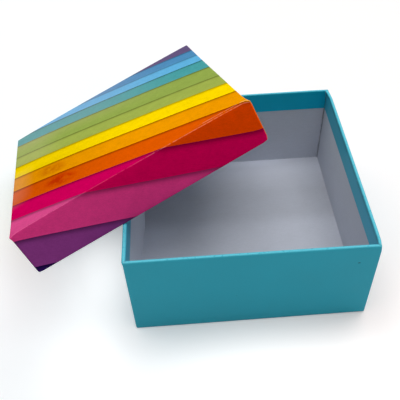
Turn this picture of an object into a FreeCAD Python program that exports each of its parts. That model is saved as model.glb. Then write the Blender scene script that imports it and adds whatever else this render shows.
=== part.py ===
"""Rigid gift box: an open square tray with its lift-off lid leaning on it.

Each half is a greyboard shell, folded up from a scored and notched blank. Strips of
paper tape, the corner stays, hold its four corners. One sheet of printed paper is glued
round the outside, folded over the rim and turned in down the inner walls.

Frame: millimetres, +Z up, origin at the middle of the tray's underside. +X is to the
right and +Y to the back of the tray. The lid is built upside down, as a second tray, and
then laid over the tray's back left corner: one corner of its rim stands on the ground,
and two sides of its rim rest on the tray's left and back walls.
"""

import FreeCAD, Part
import math
import os

import Sketcher

SIZES = {
    "tray_width": 130.0,  # outside, left to right
    "tray_depth": 130.0,  # outside, front to back
    "tray_height": 60.0,
    "tray_turn_in": 14.0,  # paper folded down inside the tray's rim
    "lid_height": 25.0,
    "lid_turn_in": 12.0,
    "lid_clearance": 1.75,  # between the tray's outside and the lid's inside, each side
    "board_thick": 1.5,
    "paper_thick": 0.15,
    "corner_radius": 0.8,  # upright corners, over the paper
    "fold_radius": 0.5,  # rim and bottom folds, over the paper
    "wall_seam": 0.2,  # between the ends of two board walls at a corner
    "mitre_gap": 0.25,  # between the ends of two turned-in flaps
    "mitre_margin": 1.0,  # whole paper left outside a mitre, from the square corner
    "stay_thick": 0.1,
    "stay_leg": 12.0,  # how far a stay reaches along each wall
    "stay_margin": 4.0,  # bare board above and below a stay
    "lean_line": 29.66,  # degrees: the line through both rim contacts, seen from above
    "lean_turn": 44.65,  # degrees: how far the lid is turned from that line
    "corner_room": 0.2,  # between the tray's covered corner and the lid's underside
}
TRAY_CORNERS = {"front_left": (-1, -1), "front_right": (1, -1), "back_right": (1, 1), "back_left": (-1, 1)}
LID_CORNERS = {"back_left": (-1, -1), "back_right": (1, -1), "front_right": (1, 1), "front_left": (-1, 1)}
SETTLE_STEPS = 8
LEVEL_TOUCH = 1e-6  # how near two heights are to count as the same
FIRST_GUESS = 2.0  # a sketched side's length, before its size is bound

TRAY = {"width": "sizes.tray_width", "depth": "sizes.tray_depth",
        "height": "sizes.tray_height", "turn_in": "sizes.tray_turn_in"}
LID_GROWTH = "2 * (sizes.lid_clearance + sizes.board_thick + 2 * sizes.paper_thick)"
LID = {"width": f"(sizes.tray_width + {LID_GROWTH})", "depth": f"(sizes.tray_depth + {LID_GROWTH})",
       "height": "sizes.lid_height", "turn_in": "sizes.lid_turn_in"}
PAPER = "sizes.paper_thick"
SKIN = "(sizes.paper_thick + sizes.board_thick)"  # outer face to the board's inner face
RIM = "(2 * sizes.paper_thick + sizes.board_thick)"  # outer face to the turn-in's face

doc = FreeCAD.newDocument("gift_box")


def make_sheet():
    """Put every driving size in a spreadsheet, under its own name."""
    sheet = doc.addObject("Spreadsheet::Sheet", "sizes")
    for row, (name, value) in enumerate(SIZES.items(), start=1):
        sheet.set(f"A{row}", name)
        sheet.set(f"B{row}", str(value))
        sheet.setAlias(f"B{row}", name)
    doc.recompute()
    return sheet


def bind(thing, **expressions):
    """Tie properties to expressions; a double underscore in a name stands for a dot."""
    for name, expression in expressions.items():
        thing.setExpression(name.replace("__", "."), expression)
    return thing


def origin_plane(body):
    """The body's own ground plane."""
    return next(f for f in body.Origin.OriginFeatures if f.Role == "XY_Plane")


def rectangle(body, name, width, depth, level):
    """A rectangle centred on the axis, at a height above the body's ground plane."""
    sketch = body.newObject("Sketcher::SketchObject", name)
    sketch.AttachmentSupport = [(origin_plane(body), "")]
    sketch.MapMode = "FlatFace"
    points = [FreeCAD.Vector(x, y, 0) for x, y in TRAY_CORNERS.values()]
    for start, end in zip(points, points[1:] + points[:1]):
        sketch.addGeometry(Part.LineSegment(start, end), False)
    for side in range(4):
        sketch.addConstraint(Sketcher.Constraint("Coincident", side, 2, (side + 1) % 4, 1))
    for side in (0, 2):
        sketch.addConstraint(Sketcher.Constraint("Horizontal", side))
        sketch.addConstraint(Sketcher.Constraint("Vertical", side + 1))
    sketch.addConstraint(Sketcher.Constraint("Symmetric", 0, 1, 2, 1, -1, 1))
    for kind, side, label, size in (("DistanceX", 0, "width", width), ("DistanceY", 1, "depth", depth)):
        sketch.addConstraint(Sketcher.Constraint(kind, side, 1, side, 2, FIRST_GUESS))
        sketch.renameConstraint(sketch.ConstraintCount - 1, label)
        sketch.setExpression(f"Constraints.{label}", size)
    sketch.setExpression("AttachmentOffset.Base.z", level)
    return sketch


def pad(body, name, width, depth, level, height):
    """Raise a centred rectangle into a block."""
    feature = body.newObject("PartDesign::Pad", name)
    feature.Profile = rectangle(body, name + "_sketch", width, depth, level)
    bind(feature, Length=height)
    doc.recompute()
    return feature


def pocket(body, name, width, depth, level, reach):
    """Cut a centred rectangle downwards from a height."""
    feature = body.newObject("PartDesign::Pocket", name)
    feature.Profile = rectangle(body, name + "_sketch", width, depth, level)
    before = body.Shape.Volume
    bind(feature, Length=reach)
    doc.recompute()
    if body.Shape.Volume >= before:
        raise ValueError(f"{name} cuts nothing")
    return feature


def round_edges(body, name, base, wanted, radius):
    """Fillet the edges of a feature that a test picks."""
    picked = [f"Edge{i}" for i, edge in enumerate(base.Shape.Edges, start=1) if wanted(edge)]
    feature = body.newObject("PartDesign::Fillet", name)
    feature.Base = (base, picked)
    bind(feature, Radius=radius)
    doc.recompute()
    return feature


def upright(edge):
    """True for a straight edge that runs up the Z axis."""
    box = edge.BoundBox
    return max(box.XLength, box.YLength) < LEVEL_TOUCH < box.ZLength


def level_at(*heights):
    """A test for edges that lie flat at one of some heights."""
    def wanted(edge):
        box = edge.BoundBox
        return any(max(abs(box.ZMin - z), abs(box.ZMax - z)) < LEVEL_TOUCH for z in heights)
    return wanted


def inset(size, amount):
    """An expression for a size less the same amount at both ends."""
    return f"({size} - 2 * {amount})"


def rounded_block(name, box, start, margin):
    """A block with rounded upright corners: `start` in from the sides, `margin` in from both ends."""
    body = doc.addObject("PartDesign::Body", name)
    width, depth = inset(box["width"], start), inset(box["depth"], start)
    block = pad(body, name + "_block", width, depth, margin, inset(box["height"], margin))
    rounded = round_edges(body, name + "_corners", block, upright, f"sizes.corner_radius - {start}")
    return body, rounded


def board_core(name, box):
    """The plain board shell, before its corner seams are cut."""
    body, rounded = rounded_block(name, box, PAPER, PAPER)
    low, high = rounded.Shape.BoundBox.ZMin, rounded.Shape.BoundBox.ZMax
    opening = pocket(body, name + "_opening", inset(box["width"], SKIN), inset(box["depth"], SKIN),
                     f"{box['height']} - {PAPER}", f"{box['height']} - {PAPER} - {SKIN}")
    round_edges(body, name + "_folds", opening, level_at(low, high), f"sizes.fold_radius - {PAPER}")
    return body


def papered_shell(name, box):
    """The board shell and its paper as one solid: narrower at the rim, by the turned-in paper."""
    body, rounded = rounded_block(name, box, "0", "0")
    low, high = rounded.Shape.BoundBox.ZMin, rounded.Shape.BoundBox.ZMax
    mouth = pocket(body, name + "_mouth", inset(box["width"], RIM), inset(box["depth"], RIM),
                   box["height"], f"{box['height']} - {SKIN}")
    folded = round_edges(body, name + "_folds", mouth, level_at(low, high), "sizes.fold_radius")
    pocket(body, name + "_cavity", inset(box["width"], SKIN), inset(box["depth"], SKIN),
           f"{box['height']} - {box['turn_in']}", f"{box['height']} - {box['turn_in']} - {SKIN}")
    return body


def cut(name, base, tools):
    """Take some solids from another, one boolean at a time."""
    for number, tool in enumerate(tools, start=1):
        step = doc.addObject("Part::Cut", name if number == len(tools) else f"{name}_step{number}")
        step.Base = base
        step.Tool = tool
        base = step
    doc.recompute()
    return base


def block(name, sizes, place):
    """A Part box whose length, width, height and lowest corner are expressions."""
    box = doc.addObject("Part::Box", name)
    bind(box, Length=sizes[0], Width=sizes[1], Height=sizes[2])
    for axis, expression in zip("xyz", place):
        box.setExpression(f"Placement.Base.{axis}", expression)
    return box


def wall_seams(name, box):
    """A thin slot at each corner, where the front and back walls stop short of the side walls."""
    slots = []
    for corner, (right, back) in TRAY_CORNERS.items():
        inner = f"({box['width']} / 2 - {SKIN})"
        left_edge = f"{inner} - sizes.wall_seam" if right > 0 else f"-{inner}"
        near_edge = f"{box['depth']} / 2 - {SKIN}" if back > 0 else f"-{box['depth']} / 2"
        slots.append(block(f"{name}_{corner}", ("sizes.wall_seam", SKIN, box["height"]),
                           (left_edge, near_edge, SKIN)))
    return slots


def mitres(name, box):
    """Two thin diagonal slots that part the turned-in flaps at the four corners of the rim."""
    length = f"sqrt({box['width']} ^ 2 + {box['depth']} ^ 2) - 2 * sizes.mitre_margin"
    slots = []
    for side, sign in (("rising", "1"), ("falling", "-1")):
        body = doc.addObject("PartDesign::Body", f"{name}_{side}")
        level = f"{box['height']} - {box['turn_in']}"
        pad(body, f"{name}_{side}_slot", length, "sizes.mitre_gap", level, box["turn_in"])
        body.Placement.Rotation.Axis = FreeCAD.Vector(0, 0, 1)
        bind(body, Placement__Rotation__Angle=f"{sign} * atan2({box['depth']}; {box['width']})")
        slots.append(body)
    doc.recompute()
    return slots


def stay_band(name, box):
    """A band of tape round all four walls, sunk into the board by its own thickness."""
    margin = f"({PAPER} + sizes.stay_margin)"
    outside, _ = rounded_block(f"{name}_outside", box, PAPER, margin)
    inside, _ = rounded_block(f"{name}_inside", box, f"({PAPER} + sizes.stay_thick)", margin)
    return cut(name, outside, [inside])


def corner_block(name, box, right, back):
    """The space that one stay takes up at a corner, from the ground to the rim."""
    leg = f"({PAPER} + sizes.stay_leg)"
    x = f"{box['width']} / 2 - {leg}" if right > 0 else f"-{box['width']} / 2"
    y = f"{box['depth']} / 2 - {leg}" if back > 0 else f"-{box['depth']} / 2"
    return block(name, (leg, leg, box["height"]), (x, y, "0"))


def stay_beds(name, box, band):
    """The four corners of the band together: the shallow beds that the stays need in the board."""
    leg = f"({PAPER} + sizes.stay_leg)"
    middles = []
    for axis, across in (("width", "depth"), ("depth", "width")):
        sizes = {axis: inset(box[axis], leg), across: box[across]}
        middles.append(block(f"{name}_clear_{axis}", (sizes["width"], sizes["depth"], box["height"]),
                             (f"-{sizes['width']} / 2", f"-{sizes['depth']} / 2", "0")))
    return cut(name, band, middles)


def common(name, base, tool):
    """What two solids share."""
    shared = doc.addObject("Part::Common", name)
    shared.Base = base
    shared.Tool = tool
    return shared


def half_box(name, box, corners):
    """One half of the box: its board, its paper and its four stays, open side up."""
    core = board_core(f"{name}_core", box)
    shell = papered_shell(f"{name}_shell", box)
    band = stay_band(f"{name}_band", box)
    beds = stay_beds(f"{name}_beds", box, band)
    pieces = [cut(f"{name}_board", core, [beds, *wall_seams(f"{name}_seam", box)]),
              cut(f"{name}_wrap", shell, [core, *mitres(f"{name}_mitre", box)])]
    for corner, (right, back) in corners.items():
        space = corner_block(f"{name}_space_{corner}", box, right, back)
        pieces.append(common(f"{name}_stay_{corner}", band, space))
    doc.recompute()
    return shell, pieces


def lean_placement(sheet, rim_level, foot_level):
    """Where the lid lies when its rim's plane is held by three points.

    The plane passes the tray's left and back walls at rim_level, and the lid's lowest
    corner is at foot_level. The span between the two rim contacts is the one that leaves
    corner_room over the tray's corner, inside the lid.
    """
    rim = 2 * sheet.paper_thick + sheet.board_thick
    width = sheet.tray_width + 2 * (sheet.lid_clearance + rim)
    depth = sheet.tray_depth + 2 * (sheet.lid_clearance + rim)
    across, along = width - rim, depth - rim
    line = math.radians(sheet.lean_line)
    cosine, sine = math.cos(math.radians(sheet.lean_turn)), -math.sin(math.radians(sheet.lean_turn))
    hollow = sheet.lid_height - sheet.board_thick - sheet.paper_thick - sheet.corner_room
    rise = rim_level - foot_level
    slope_part = rise * math.sin(line) * math.cos(line) - hollow * cosine * sine
    span = hollow * (along * cosine - across * sine) / slope_part
    left = FreeCAD.Vector(-sheet.tray_width / 2, sheet.tray_depth / 2 - span * math.cos(line), rim_level)
    back = FreeCAD.Vector(-sheet.tray_width / 2 + span * math.sin(line), sheet.tray_depth / 2, rim_level)
    level = (back - left).normalize()
    reach = (span * cosine - across) * sine + along * cosine
    shift = (span * cosine - across) * cosine - along * sine
    tilt = math.asin(rise / reach)
    fall = FreeCAD.Vector(-level.y, level.x, 0) * math.cos(tilt) - FreeCAD.Vector(0, 0, math.sin(tilt))
    lid_right = level * cosine + fall * sine
    lid_back = fall * cosine - level * sine
    lid_up = lid_right.cross(lid_back)
    foot = left + level * shift + fall * reach
    panel_centre = foot + lid_right * (width / 2) - lid_back * (depth / 2) + lid_up * sheet.lid_height
    turned = FreeCAD.Rotation(lid_right, -lid_back, -lid_up, "XYZ")
    return FreeCAD.Placement(panel_centre, turned)


def settle_lid(sheet, tray, lid):
    """Lower the lid until its rounded folds touch the tray and the ground, and say where it is."""
    rim_level, foot_level = sheet.tray_height, 0.0
    for _ in range(SETTLE_STEPS):
        place = lean_placement(sheet, rim_level, foot_level)
        leaning = lid.copy()
        leaning.Placement = place
        rim_level -= leaning.distToShape(tray)[0]
        foot_level -= leaning.optimalBoundingBox(False, False).ZMin
    return place


def check(pieces):
    """Stop if any object failed, or any piece isn't one sound solid."""
    failed = [o.Label for o in doc.Objects if {"Invalid", "Error"} & set(o.State)]
    unsound = [p.Label for p in pieces if p.Shape.isNull() or not p.Shape.isValid() or len(p.Shape.Solids) != 1]
    if failed or unsound:
        raise ValueError(f"failed objects {failed}, unsound pieces {unsound}")


def main():
    """Build both halves, lean the lid and write every piece."""
    sheet = make_sheet()
    tray_shell, tray_pieces = half_box("tray", TRAY, TRAY_CORNERS)
    lid_shell, lid_pieces = half_box("lid", LID, LID_CORNERS)
    place = settle_lid(sheet, tray_shell.Shape, lid_shell.Shape)
    for piece in lid_pieces:
        piece.Placement = place
    doc.recompute()
    pieces = tray_pieces + lid_pieces
    check(pieces)
    os.makedirs("parts", exist_ok=True)
    for piece in pieces:
        piece.Shape.exportStep(f"parts/{piece.Label}.step")
        print(f"{piece.Label}: {piece.Shape.Volume:.1f} mm3")


main()
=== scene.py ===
"""A rigid gift box in two halves: a teal tray, and a striped lid that leans over a corner of it.

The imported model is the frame. A used box is a little out of square and its lid has warped, so every
piece of it, the paper wraps, the greyboard shells and the tapes that hold their corners, is modelled
again on the bench: each half stands open side up with the middle of its outer panel at the origin,
is bent there and is then set in its place.
"""

import logging
import math
from contextlib import contextmanager
from dataclasses import dataclass, field
from enum import Enum
from functools import partial, reduce
from typing import Callable, Iterator

import bmesh
import bpy
from mathutils import Matrix, Vector


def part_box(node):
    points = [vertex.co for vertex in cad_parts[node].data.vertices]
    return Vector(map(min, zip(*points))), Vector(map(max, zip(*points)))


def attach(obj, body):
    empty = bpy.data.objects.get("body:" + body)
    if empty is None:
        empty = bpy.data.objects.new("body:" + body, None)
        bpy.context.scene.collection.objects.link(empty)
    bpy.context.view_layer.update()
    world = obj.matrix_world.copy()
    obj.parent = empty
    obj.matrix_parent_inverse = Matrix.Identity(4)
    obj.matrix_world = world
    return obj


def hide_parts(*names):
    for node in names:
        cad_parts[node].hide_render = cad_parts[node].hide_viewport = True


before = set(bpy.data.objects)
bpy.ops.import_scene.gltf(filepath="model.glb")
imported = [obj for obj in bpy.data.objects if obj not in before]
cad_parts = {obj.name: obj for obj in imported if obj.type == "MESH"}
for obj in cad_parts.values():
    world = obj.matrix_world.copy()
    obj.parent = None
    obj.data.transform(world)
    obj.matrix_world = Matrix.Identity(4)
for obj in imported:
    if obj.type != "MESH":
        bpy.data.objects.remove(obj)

LOG = logging.getLogger("gift_box")
MM = 0.001
BODY = "root"
SHEET_MAP = "sheet"
SHELL_MAP = "shell"
SMOOTH_ANGLE = math.radians(40)
CORNERS = ((1, 1), (1, -1), (-1, 1), (-1, -1))

# Places closer than TOUCH are the same, points closer than WELD are joined, and a face that is
# looked for at some height may lie CLEAR off it. In millimetres, no run on the box is as long as FAR.
TOUCH = 0.002 * MM
WELD = 0.03 * MM
CLEAR = 1.0 * MM
FAR = 1000.0

# A face or an edge follows an axis where it keeps at least this share of its length along it.
FACING = 0.9

# How many steps round an upright corner, a fold and an upright corner inside the wrap.
CORNER_STEPS = 5
FOLD_STEPS = 4
INNER_STEPS = 2

# Noise: its middle value, how many finer layers it has, and how strong those are in grain.
NOISE_MEAN = 0.5
FINE_DETAIL = 3.0
SOFT_DETAIL = 2.0
GRAIN_ROUGHNESS = 0.6

Two = tuple[float, float]
Three = tuple[float, float, float]
Four = tuple[float, float, float, float]
Colour = Four
Socket = bpy.types.NodeSocket
Source = Socket | float | Colour | None


class Element(Enum):
    """What is picked in edit mode."""

    POINT = "VERT"
    EDGE = "EDGE"
    FACE = "FACE"


class Slot(Enum):
    """The record's material slots."""

    BOARD = "lined_board"
    TEAL = "teal_paper"
    STRIPES = "striped_paper"
    TAPE = "stay_tape"


def tint(red: int, green: int, blue: int) -> Colour:
    """Turns a display colour into the linear colour that the nodes use.

    Args:
        red: Red, 0 to 255.
        green: Green, 0 to 255.
        blue: Blue, 0 to 255.

    Returns:
        The linear colour, with full alpha.
    """

    def linear(level: int) -> float:
        """Undoes the display curve for one channel."""
        share = level / 255
        return share / 12.92 if share <= 0.04045 else ((share + 0.055) / 1.055) ** 2.4

    return (linear(red), linear(green), linear(blue), 1.0)


# The sheet's colour under the print, also laid on as painted sheen and highlight.
BARE_SHEET_AND_SHEEN = tint(255, 225, 215)


# ---------------------------------------------------------------------------
# The bench
# ---------------------------------------------------------------------------


class Workpiece:
    """A mesh shaped in edit mode by operators, on what is picked by place."""

    def __init__(self, made: bpy.types.Object, name: str) -> None:
        """Takes an object in hand and names it and its mesh."""
        self.object = made
        made.name = made.data.name = name

    @classmethod
    def block(cls, name: str, low: Vector, high: Vector) -> "Workpiece":
        """Starts a piece as a block between two corners.

        Args:
            name: The piece's name.
            low: The block's lowest corner.
            high: The block's highest corner.

        Returns:
            The new workpiece.
        """
        bpy.ops.object.select_all(action="DESELECT")
        bpy.ops.mesh.primitive_cube_add(
            size=1.0, calc_uvs=False, location=(low + high) / 2, scale=high - low
        )
        piece = cls(bpy.context.active_object, name)
        bpy.ops.object.transform_apply(location=True, rotation=True, scale=True)
        return piece

    def mirrored(self, name: str, side: int, end: int) -> "Workpiece":
        """Copies the piece, with a mesh of its own, to another corner of the bench.

        Args:
            name: The copy's name.
            side: -1 to mirror it in X, or 1.
            end: -1 to mirror it in Y, or 1.

        Returns:
            The copy.
        """
        self.take()
        bpy.ops.object.duplicate()
        twin = Workpiece(bpy.context.active_object, name)
        with twin.in_edit_mode():
            bpy.ops.mesh.select_all(action="SELECT")
            bpy.ops.transform.resize(value=(side, end, 1), center_override=(0, 0, 0))
            bpy.ops.mesh.normals_make_consistent(inside=False)
        return twin

    def take(self) -> None:
        """Selects the piece alone and makes it the active object."""
        bpy.ops.object.select_all(action="DESELECT")
        self.object.select_set(True)
        bpy.context.view_layer.objects.active = self.object

    @contextmanager
    def in_edit_mode(self) -> Iterator[None]:
        """Holds the piece in edit mode while it is shaped.

        Yields:
            Nothing.
        """
        self.take()
        bpy.ops.object.mode_set(mode="EDIT")
        try:
            yield
        finally:
            bpy.ops.object.mode_set(mode="OBJECT")

    def pick(self, kind: Element, test: Callable[[object], bool]) -> int:
        """Selects the points, edges or faces that pass a test, and nothing else.

        Args:
            kind: What to pick.
            test: Says whether a mesh element is wanted.

        Returns:
            How many elements are selected.
        """
        bpy.ops.mesh.select_mode(type=kind.value)
        bpy.ops.mesh.select_all(action="DESELECT")
        mesh = bmesh.from_edit_mesh(self.object.data)
        mesh.normal_update()
        elements = {Element.POINT: mesh.verts, Element.EDGE: mesh.edges, Element.FACE: mesh.faces}
        wanted = [element for element in elements[kind] if test(element)]
        for element in wanted:
            element.select_set(True)
        bmesh.update_edit_mesh(self.object.data)
        return len(wanted)

    def slice(self, point: Vector, normal: Vector, everywhere: bool = True) -> None:
        """Cuts edges where a plane crosses the piece, or only its picked faces.

        Args:
            point: A point on the plane.
            normal: The plane's normal.
            everywhere: Whether the whole piece is cut.
        """
        if everywhere:
            bpy.ops.mesh.select_all(action="SELECT")
        bpy.ops.mesh.bisect(plane_co=point, plane_no=normal, threshold=TOUCH)

    def slice_at(self, axis: int, places: list[float]) -> None:
        """Cuts the whole piece at several places along one axis.

        Args:
            axis: 0, 1 or 2, for X, Y or Z.
            places: Where the cuts go.
        """
        for place in places:
            point, normal = Vector((0, 0, 0)), Vector((0, 0, 0))
            point[axis], normal[axis] = place, 1.0
            self.slice(point, normal)

    def push(self, offset: Vector) -> None:
        """Extrudes the picked faces by a vector."""
        bpy.ops.mesh.extrude_region_move(TRANSFORM_OT_translate={"value": offset})

    def move(self, offset: Vector) -> None:
        """Moves what is picked by a vector."""
        bpy.ops.transform.translate(value=offset)

    def round(self, width: float, steps: int) -> None:
        """Bevels the picked edges."""
        bpy.ops.mesh.bevel(offset=width, segments=steps, affect="EDGES", profile=0.5)

    def pull(self, offset: Vector, reach: float, falloff: str = "SMOOTH") -> None:
        """Moves the picked points, and drags the surface round them along.

        Args:
            offset: How far the picked points move.
            reach: How far along the surface the drag is felt.
            falloff: The shape of the drag.
        """
        bpy.ops.transform.translate(
            value=offset,
            use_proportional_edit=True,
            proportional_edit_falloff=falloff,
            proportional_size=reach,
            use_proportional_connected=True,
        )

    def apply(self, kind: str, **settings: object) -> None:
        """Adds a modifier to the piece and applies it.

        Args:
            kind: The modifier's type.
            **settings: Its settings.
        """
        self.take()
        modifier = self.object.modifiers.new(kind.lower(), kind)
        for key, value in settings.items():
            setattr(modifier, key, value)
        bpy.ops.object.modifier_apply(modifier=modifier.name)

    def finish(
        self, place: Matrix, material: bpy.types.Material, slot: Slot, replaced: str
    ) -> bpy.types.Object:
        """Sets the piece in its place in the frame and gives it to the CAD body.

        Args:
            place: From the bench to the frame.
            material: Its finish.
            slot: The record's material slot. Not used.
            replaced: The CAD node that the piece stands for.

        Returns:
            The finished object, at the origin and unturned.
        """
        self.take()
        self.object.data.materials.append(material)
        self.object.matrix_world = place
        bpy.ops.object.transform_apply(location=True, rotation=True, scale=True)
        bpy.ops.object.shade_smooth_by_angle(angle=SMOOTH_ANGLE)
        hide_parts(replaced)
        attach(self.object, BODY)
        return self.object


# ---------------------------------------------------------------------------
# The two halves
# ---------------------------------------------------------------------------


@dataclass(frozen=True)
class Shape:
    """How one half lies in the frame, read from its packed wrap.

    Attributes:
        width: Outside width.
        depth: Outside depth.
        height: Outside height.
        place: From the bench, where the half stands open side up, to the frame.
    """

    width: float
    depth: float
    height: float
    place: Matrix

    @classmethod
    def of_tray(cls, node: str) -> "Shape":
        """Reads the tray, which stands upright in the frame.

        Args:
            node: The CAD node of its wrap.

        Returns:
            Its sizes and its place.
        """
        low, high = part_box(node)
        middle = (low + high) / 2
        place = Matrix.Translation((middle.x, middle.y, low.z))
        return cls(high.x - low.x, high.y - low.y, high.z - low.z, place)

    @classmethod
    def of_lid(cls, node: str) -> "Shape":
        """Reads the leaning lid from the flat faces of its packed wrap.

        Args:
            node: The CAD node of its wrap.

        Returns:
            Its sizes and its place.
        """
        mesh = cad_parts[node].data
        flats: dict[tuple[float, ...], Vector] = {}
        for face in mesh.polygons:
            key = tuple(round(part, 2) for part in face.normal)
            flats[key] = flats.get(key, Vector((0, 0, 0))) + face.normal * face.area
        six = sorted(flats.values(), key=lambda total: total.length, reverse=True)[:6]
        right = max(six, key=lambda total: total.normalized().x).normalized()
        back = max(six, key=lambda total: total.normalized().y).normalized()
        up = right.cross(back)
        spans = []
        for axis in (right, back, up):
            reach = [axis.dot(point.co) for point in mesh.vertices]
            spans.append((min(reach), max(reach)))
        middles = [(low + high) / 2 for low, high in spans]
        origin = right * middles[0] + back * middles[1] + up * spans[2][1]
        turn = Matrix((right, -back, -up)).transposed().to_4x4()
        width, depth, height = (high - low for low, high in spans)
        return cls(width, depth, height, Matrix.Translation(origin) @ turn)


@dataclass
class PaperedHalf:
    """One half of the box: a greyboard shell in a paper wrap, with taped corners.

    Attributes:
        name: "tray" or "lid".
        shape: Its sizes and its place in the frame.
        front: Which way its front faces along Y on the bench, -1 or 1.
        turn_in: How deep the paper reaches inside.
        slot: The wrap's material slot.
        board: Greyboard thickness.
        paper: Paper thickness.
        corner: Radius of the upright corners.
        rim_fold: Radius of the paper's folds at the rim.
        base_fold: Radius of the folds round the outer panel.
        inner_corner: Radius of the upright corners inside the wrap.
        seam: Width of the butt joint between two board walls.
        mitre_gap: Width of the slit between the turned-in flaps.
        mitre_start: How far inside the outside faces the slit begins.
        mitre_reach: How far from the corner a flap is still cut.
        spacing: Distance between the cuts that let the panels bend.
        near_fold: Where the cuts close up, measured from each fold.
        lap_start: How far from a corner the side flap's cut edge lies.
        lap_end: How far from a corner the tab under the side flap ends.
        lap_step: How wide the step at the side flap's cut edge is.
        lap_fade: How wide the slope past the tab's end is.
        stay_thick: Thickness of the tapes that hold the corners.
        stay_leg: How far a tape reaches along each wall.
        stay_margin: Bare board above and below a tape.
        grid: Number of control points along each side of the bending cage.
    """

    name: str
    shape: Shape
    front: int
    turn_in: float
    slot: Slot
    board: float = 1.5 * MM
    paper: float = 0.15 * MM
    corner: float = 1.0 * MM
    rim_fold: float = 0.7 * MM
    base_fold: float = 0.8 * MM
    inner_corner: float = 0.3 * MM
    seam: float = 0.3 * MM
    mitre_gap: float = 0.25 * MM
    mitre_start: float = 0.54 * MM
    mitre_reach: float = 7.8 * MM
    spacing: float = 6.0 * MM
    near_fold: tuple[float, ...] = (2.4 * MM, 4.0 * MM)
    lap_start: float = 1.3 * MM
    lap_end: float = 13.0 * MM
    lap_step: float = 0.1 * MM
    lap_fade: float = 1.0 * MM
    stay_thick: float = 0.1 * MM
    stay_leg: float = 12.0 * MM
    stay_margin: float = 4.0 * MM
    grid: int = 7

    @property
    def rim(self) -> float:
        """Width of the rim: one board with paper on both faces."""
        return self.board + 2 * self.paper

    @property
    def half(self) -> Vector:
        """Half the outside width and depth."""
        return Vector((self.shape.width / 2, self.shape.depth / 2))

    @property
    def stay_span(self) -> Two:
        """The heights between which the corner tapes lie."""
        margin = self.paper + self.stay_margin
        return margin, self.shape.height - margin

    def inward(self, point: Vector) -> Two:
        """Says how far inside the left or right wall, and the front or back wall, a point is."""
        return self.half.x - abs(point.x), self.half.y - abs(point.y)

    def shift(self, across: float, ahead: float, level: float) -> Vector:
        """Says how far the used half has moved from its true shape at a place inside it.

        Args:
            across: Place from the left side, -1, to the right side, 1.
            ahead: Place along Y on the bench, from -1 to 1.
            level: Place from the outer panel, -1, to the rim, 1.

        Returns:
            The movement on the bench.
        """
        raise NotImplementedError

    def start_block(self, name: str, margin: float, top: float) -> Workpiece:
        """Starts a block that is smaller than the half by a margin.

        Args:
            name: The piece's name.
            margin: How far inside the outside faces it lies.
            top: How high it reaches.

        Returns:
            The new workpiece.
        """
        low = Vector((margin - self.half.x, margin - self.half.y, margin))
        return Workpiece.block(name, low, Vector((-low.x, -low.y, top)))

    def cuts(self, reach: float) -> list[float]:
        """Lists where a panel is cut so that it can bend.

        Args:
            reach: Half the panel's size.

        Returns:
            Places from one side of the panel to the other.
        """
        inner = reach - self.near_fold[-1]
        steps = round(2 * inner / self.spacing)
        places = [-inner + 2 * inner * step / steps for step in range(steps + 1)]
        edge = [reach - distance for distance in self.near_fold[:-1]]
        return sorted(places + edge + [-place for place in edge])

    def hollow(self, piece: Workpiece, wall: float, depth: float) -> None:
        """Sinks the open side of a block.

        Args:
            piece: The block, in edit mode.
            wall: Wall thickness.
            depth: How deep to sink.
        """
        piece.pick(Element.FACE, lambda face: face.normal.z > FACING)
        bpy.ops.mesh.inset(thickness=wall, use_even_offset=True)
        piece.push(Vector((0, 0, -depth)))

    def round_corners(self, piece: Workpiece, radius: float, inside: float = 0.0) -> None:
        """Rounds the upright corners.

        Args:
            piece: The piece, in edit mode.
            radius: The radius outside.
            inside: The radius inside, or 0 to leave those corners sharp.
        """

        def upright(edge: bmesh.types.BMEdge, outside: bool) -> bool:
            """Says whether an edge stands upright.

            Args:
                edge: The edge.
                outside: Whether one outside is wanted, or one inside.

            Returns:
                Whether it is such an edge.
            """
            rise = abs(edge.verts[0].co.z - edge.verts[1].co.z)
            out = max(self.inward(edge.verts[0].co)) < self.board / 2
            return rise > FACING * edge.calc_length() and rise > self.rim and out == outside

        if inside:
            piece.pick(Element.EDGE, lambda edge: upright(edge, False))
            piece.round(inside, INNER_STEPS)
        piece.pick(Element.EDGE, lambda edge: upright(edge, True))
        piece.round(radius, CORNER_STEPS)

    def round_folds(self, piece: Workpiece, margin: float = 0.0) -> None:
        """Rounds the edges round the outer panel and along both sides of the rim.

        Args:
            piece: The piece, in edit mode.
            margin: How far inside the half's outside faces it lies.
        """

        def along(level: float, edge: bmesh.types.BMEdge) -> bool:
            """Says whether an edge lies at a level, at the foot or the rim of a wall."""
            level_there = all(abs(point.co.z - level) < TOUCH for point in edge.verts)
            return level_there and any(abs(face.normal.z) < FACING for face in edge.link_faces)

        piece.pick(Element.EDGE, lambda edge: along(margin, edge))
        piece.round(self.base_fold + margin, FOLD_STEPS)
        piece.pick(Element.EDGE, lambda edge: along(self.shape.height - margin, edge))
        piece.round(self.rim_fold, FOLD_STEPS)

    def slit_mitres(self, piece: Workpiece) -> None:
        """Opens the slit where two turned-in flaps meet at each corner.

        Args:
            piece: The wrap's outer skin, in edit mode.
        """
        lowest = self.shape.height - self.turn_in - CLEAR
        for side, end in CORNERS:
            corner = Vector((side * self.half.x, end * self.half.y, 0))
            across = Vector((side, -end, 0)).normalized()

            def on_flap(face: bmesh.types.BMFace) -> bool:
                """Says whether a face is part of the rim or a flap beside this corner.

                Args:
                    face: The face.

                Returns:
                    Whether it is.
                """
                middle = face.calc_center_median()
                off = max(abs(middle.x - corner.x), abs(middle.y - corner.y))
                near = off < self.mitre_reach
                inside = min(self.inward(middle)) > self.mitre_start
                return near and inside and middle.z > lowest

            def in_slit(face: bmesh.types.BMFace) -> bool:
                """Says whether a face of the flaps lies between the slit's two edges."""
                off = abs((face.calc_center_median() - corner).dot(across))
                return on_flap(face) and off < self.mitre_gap / 2 - TOUCH

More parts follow.
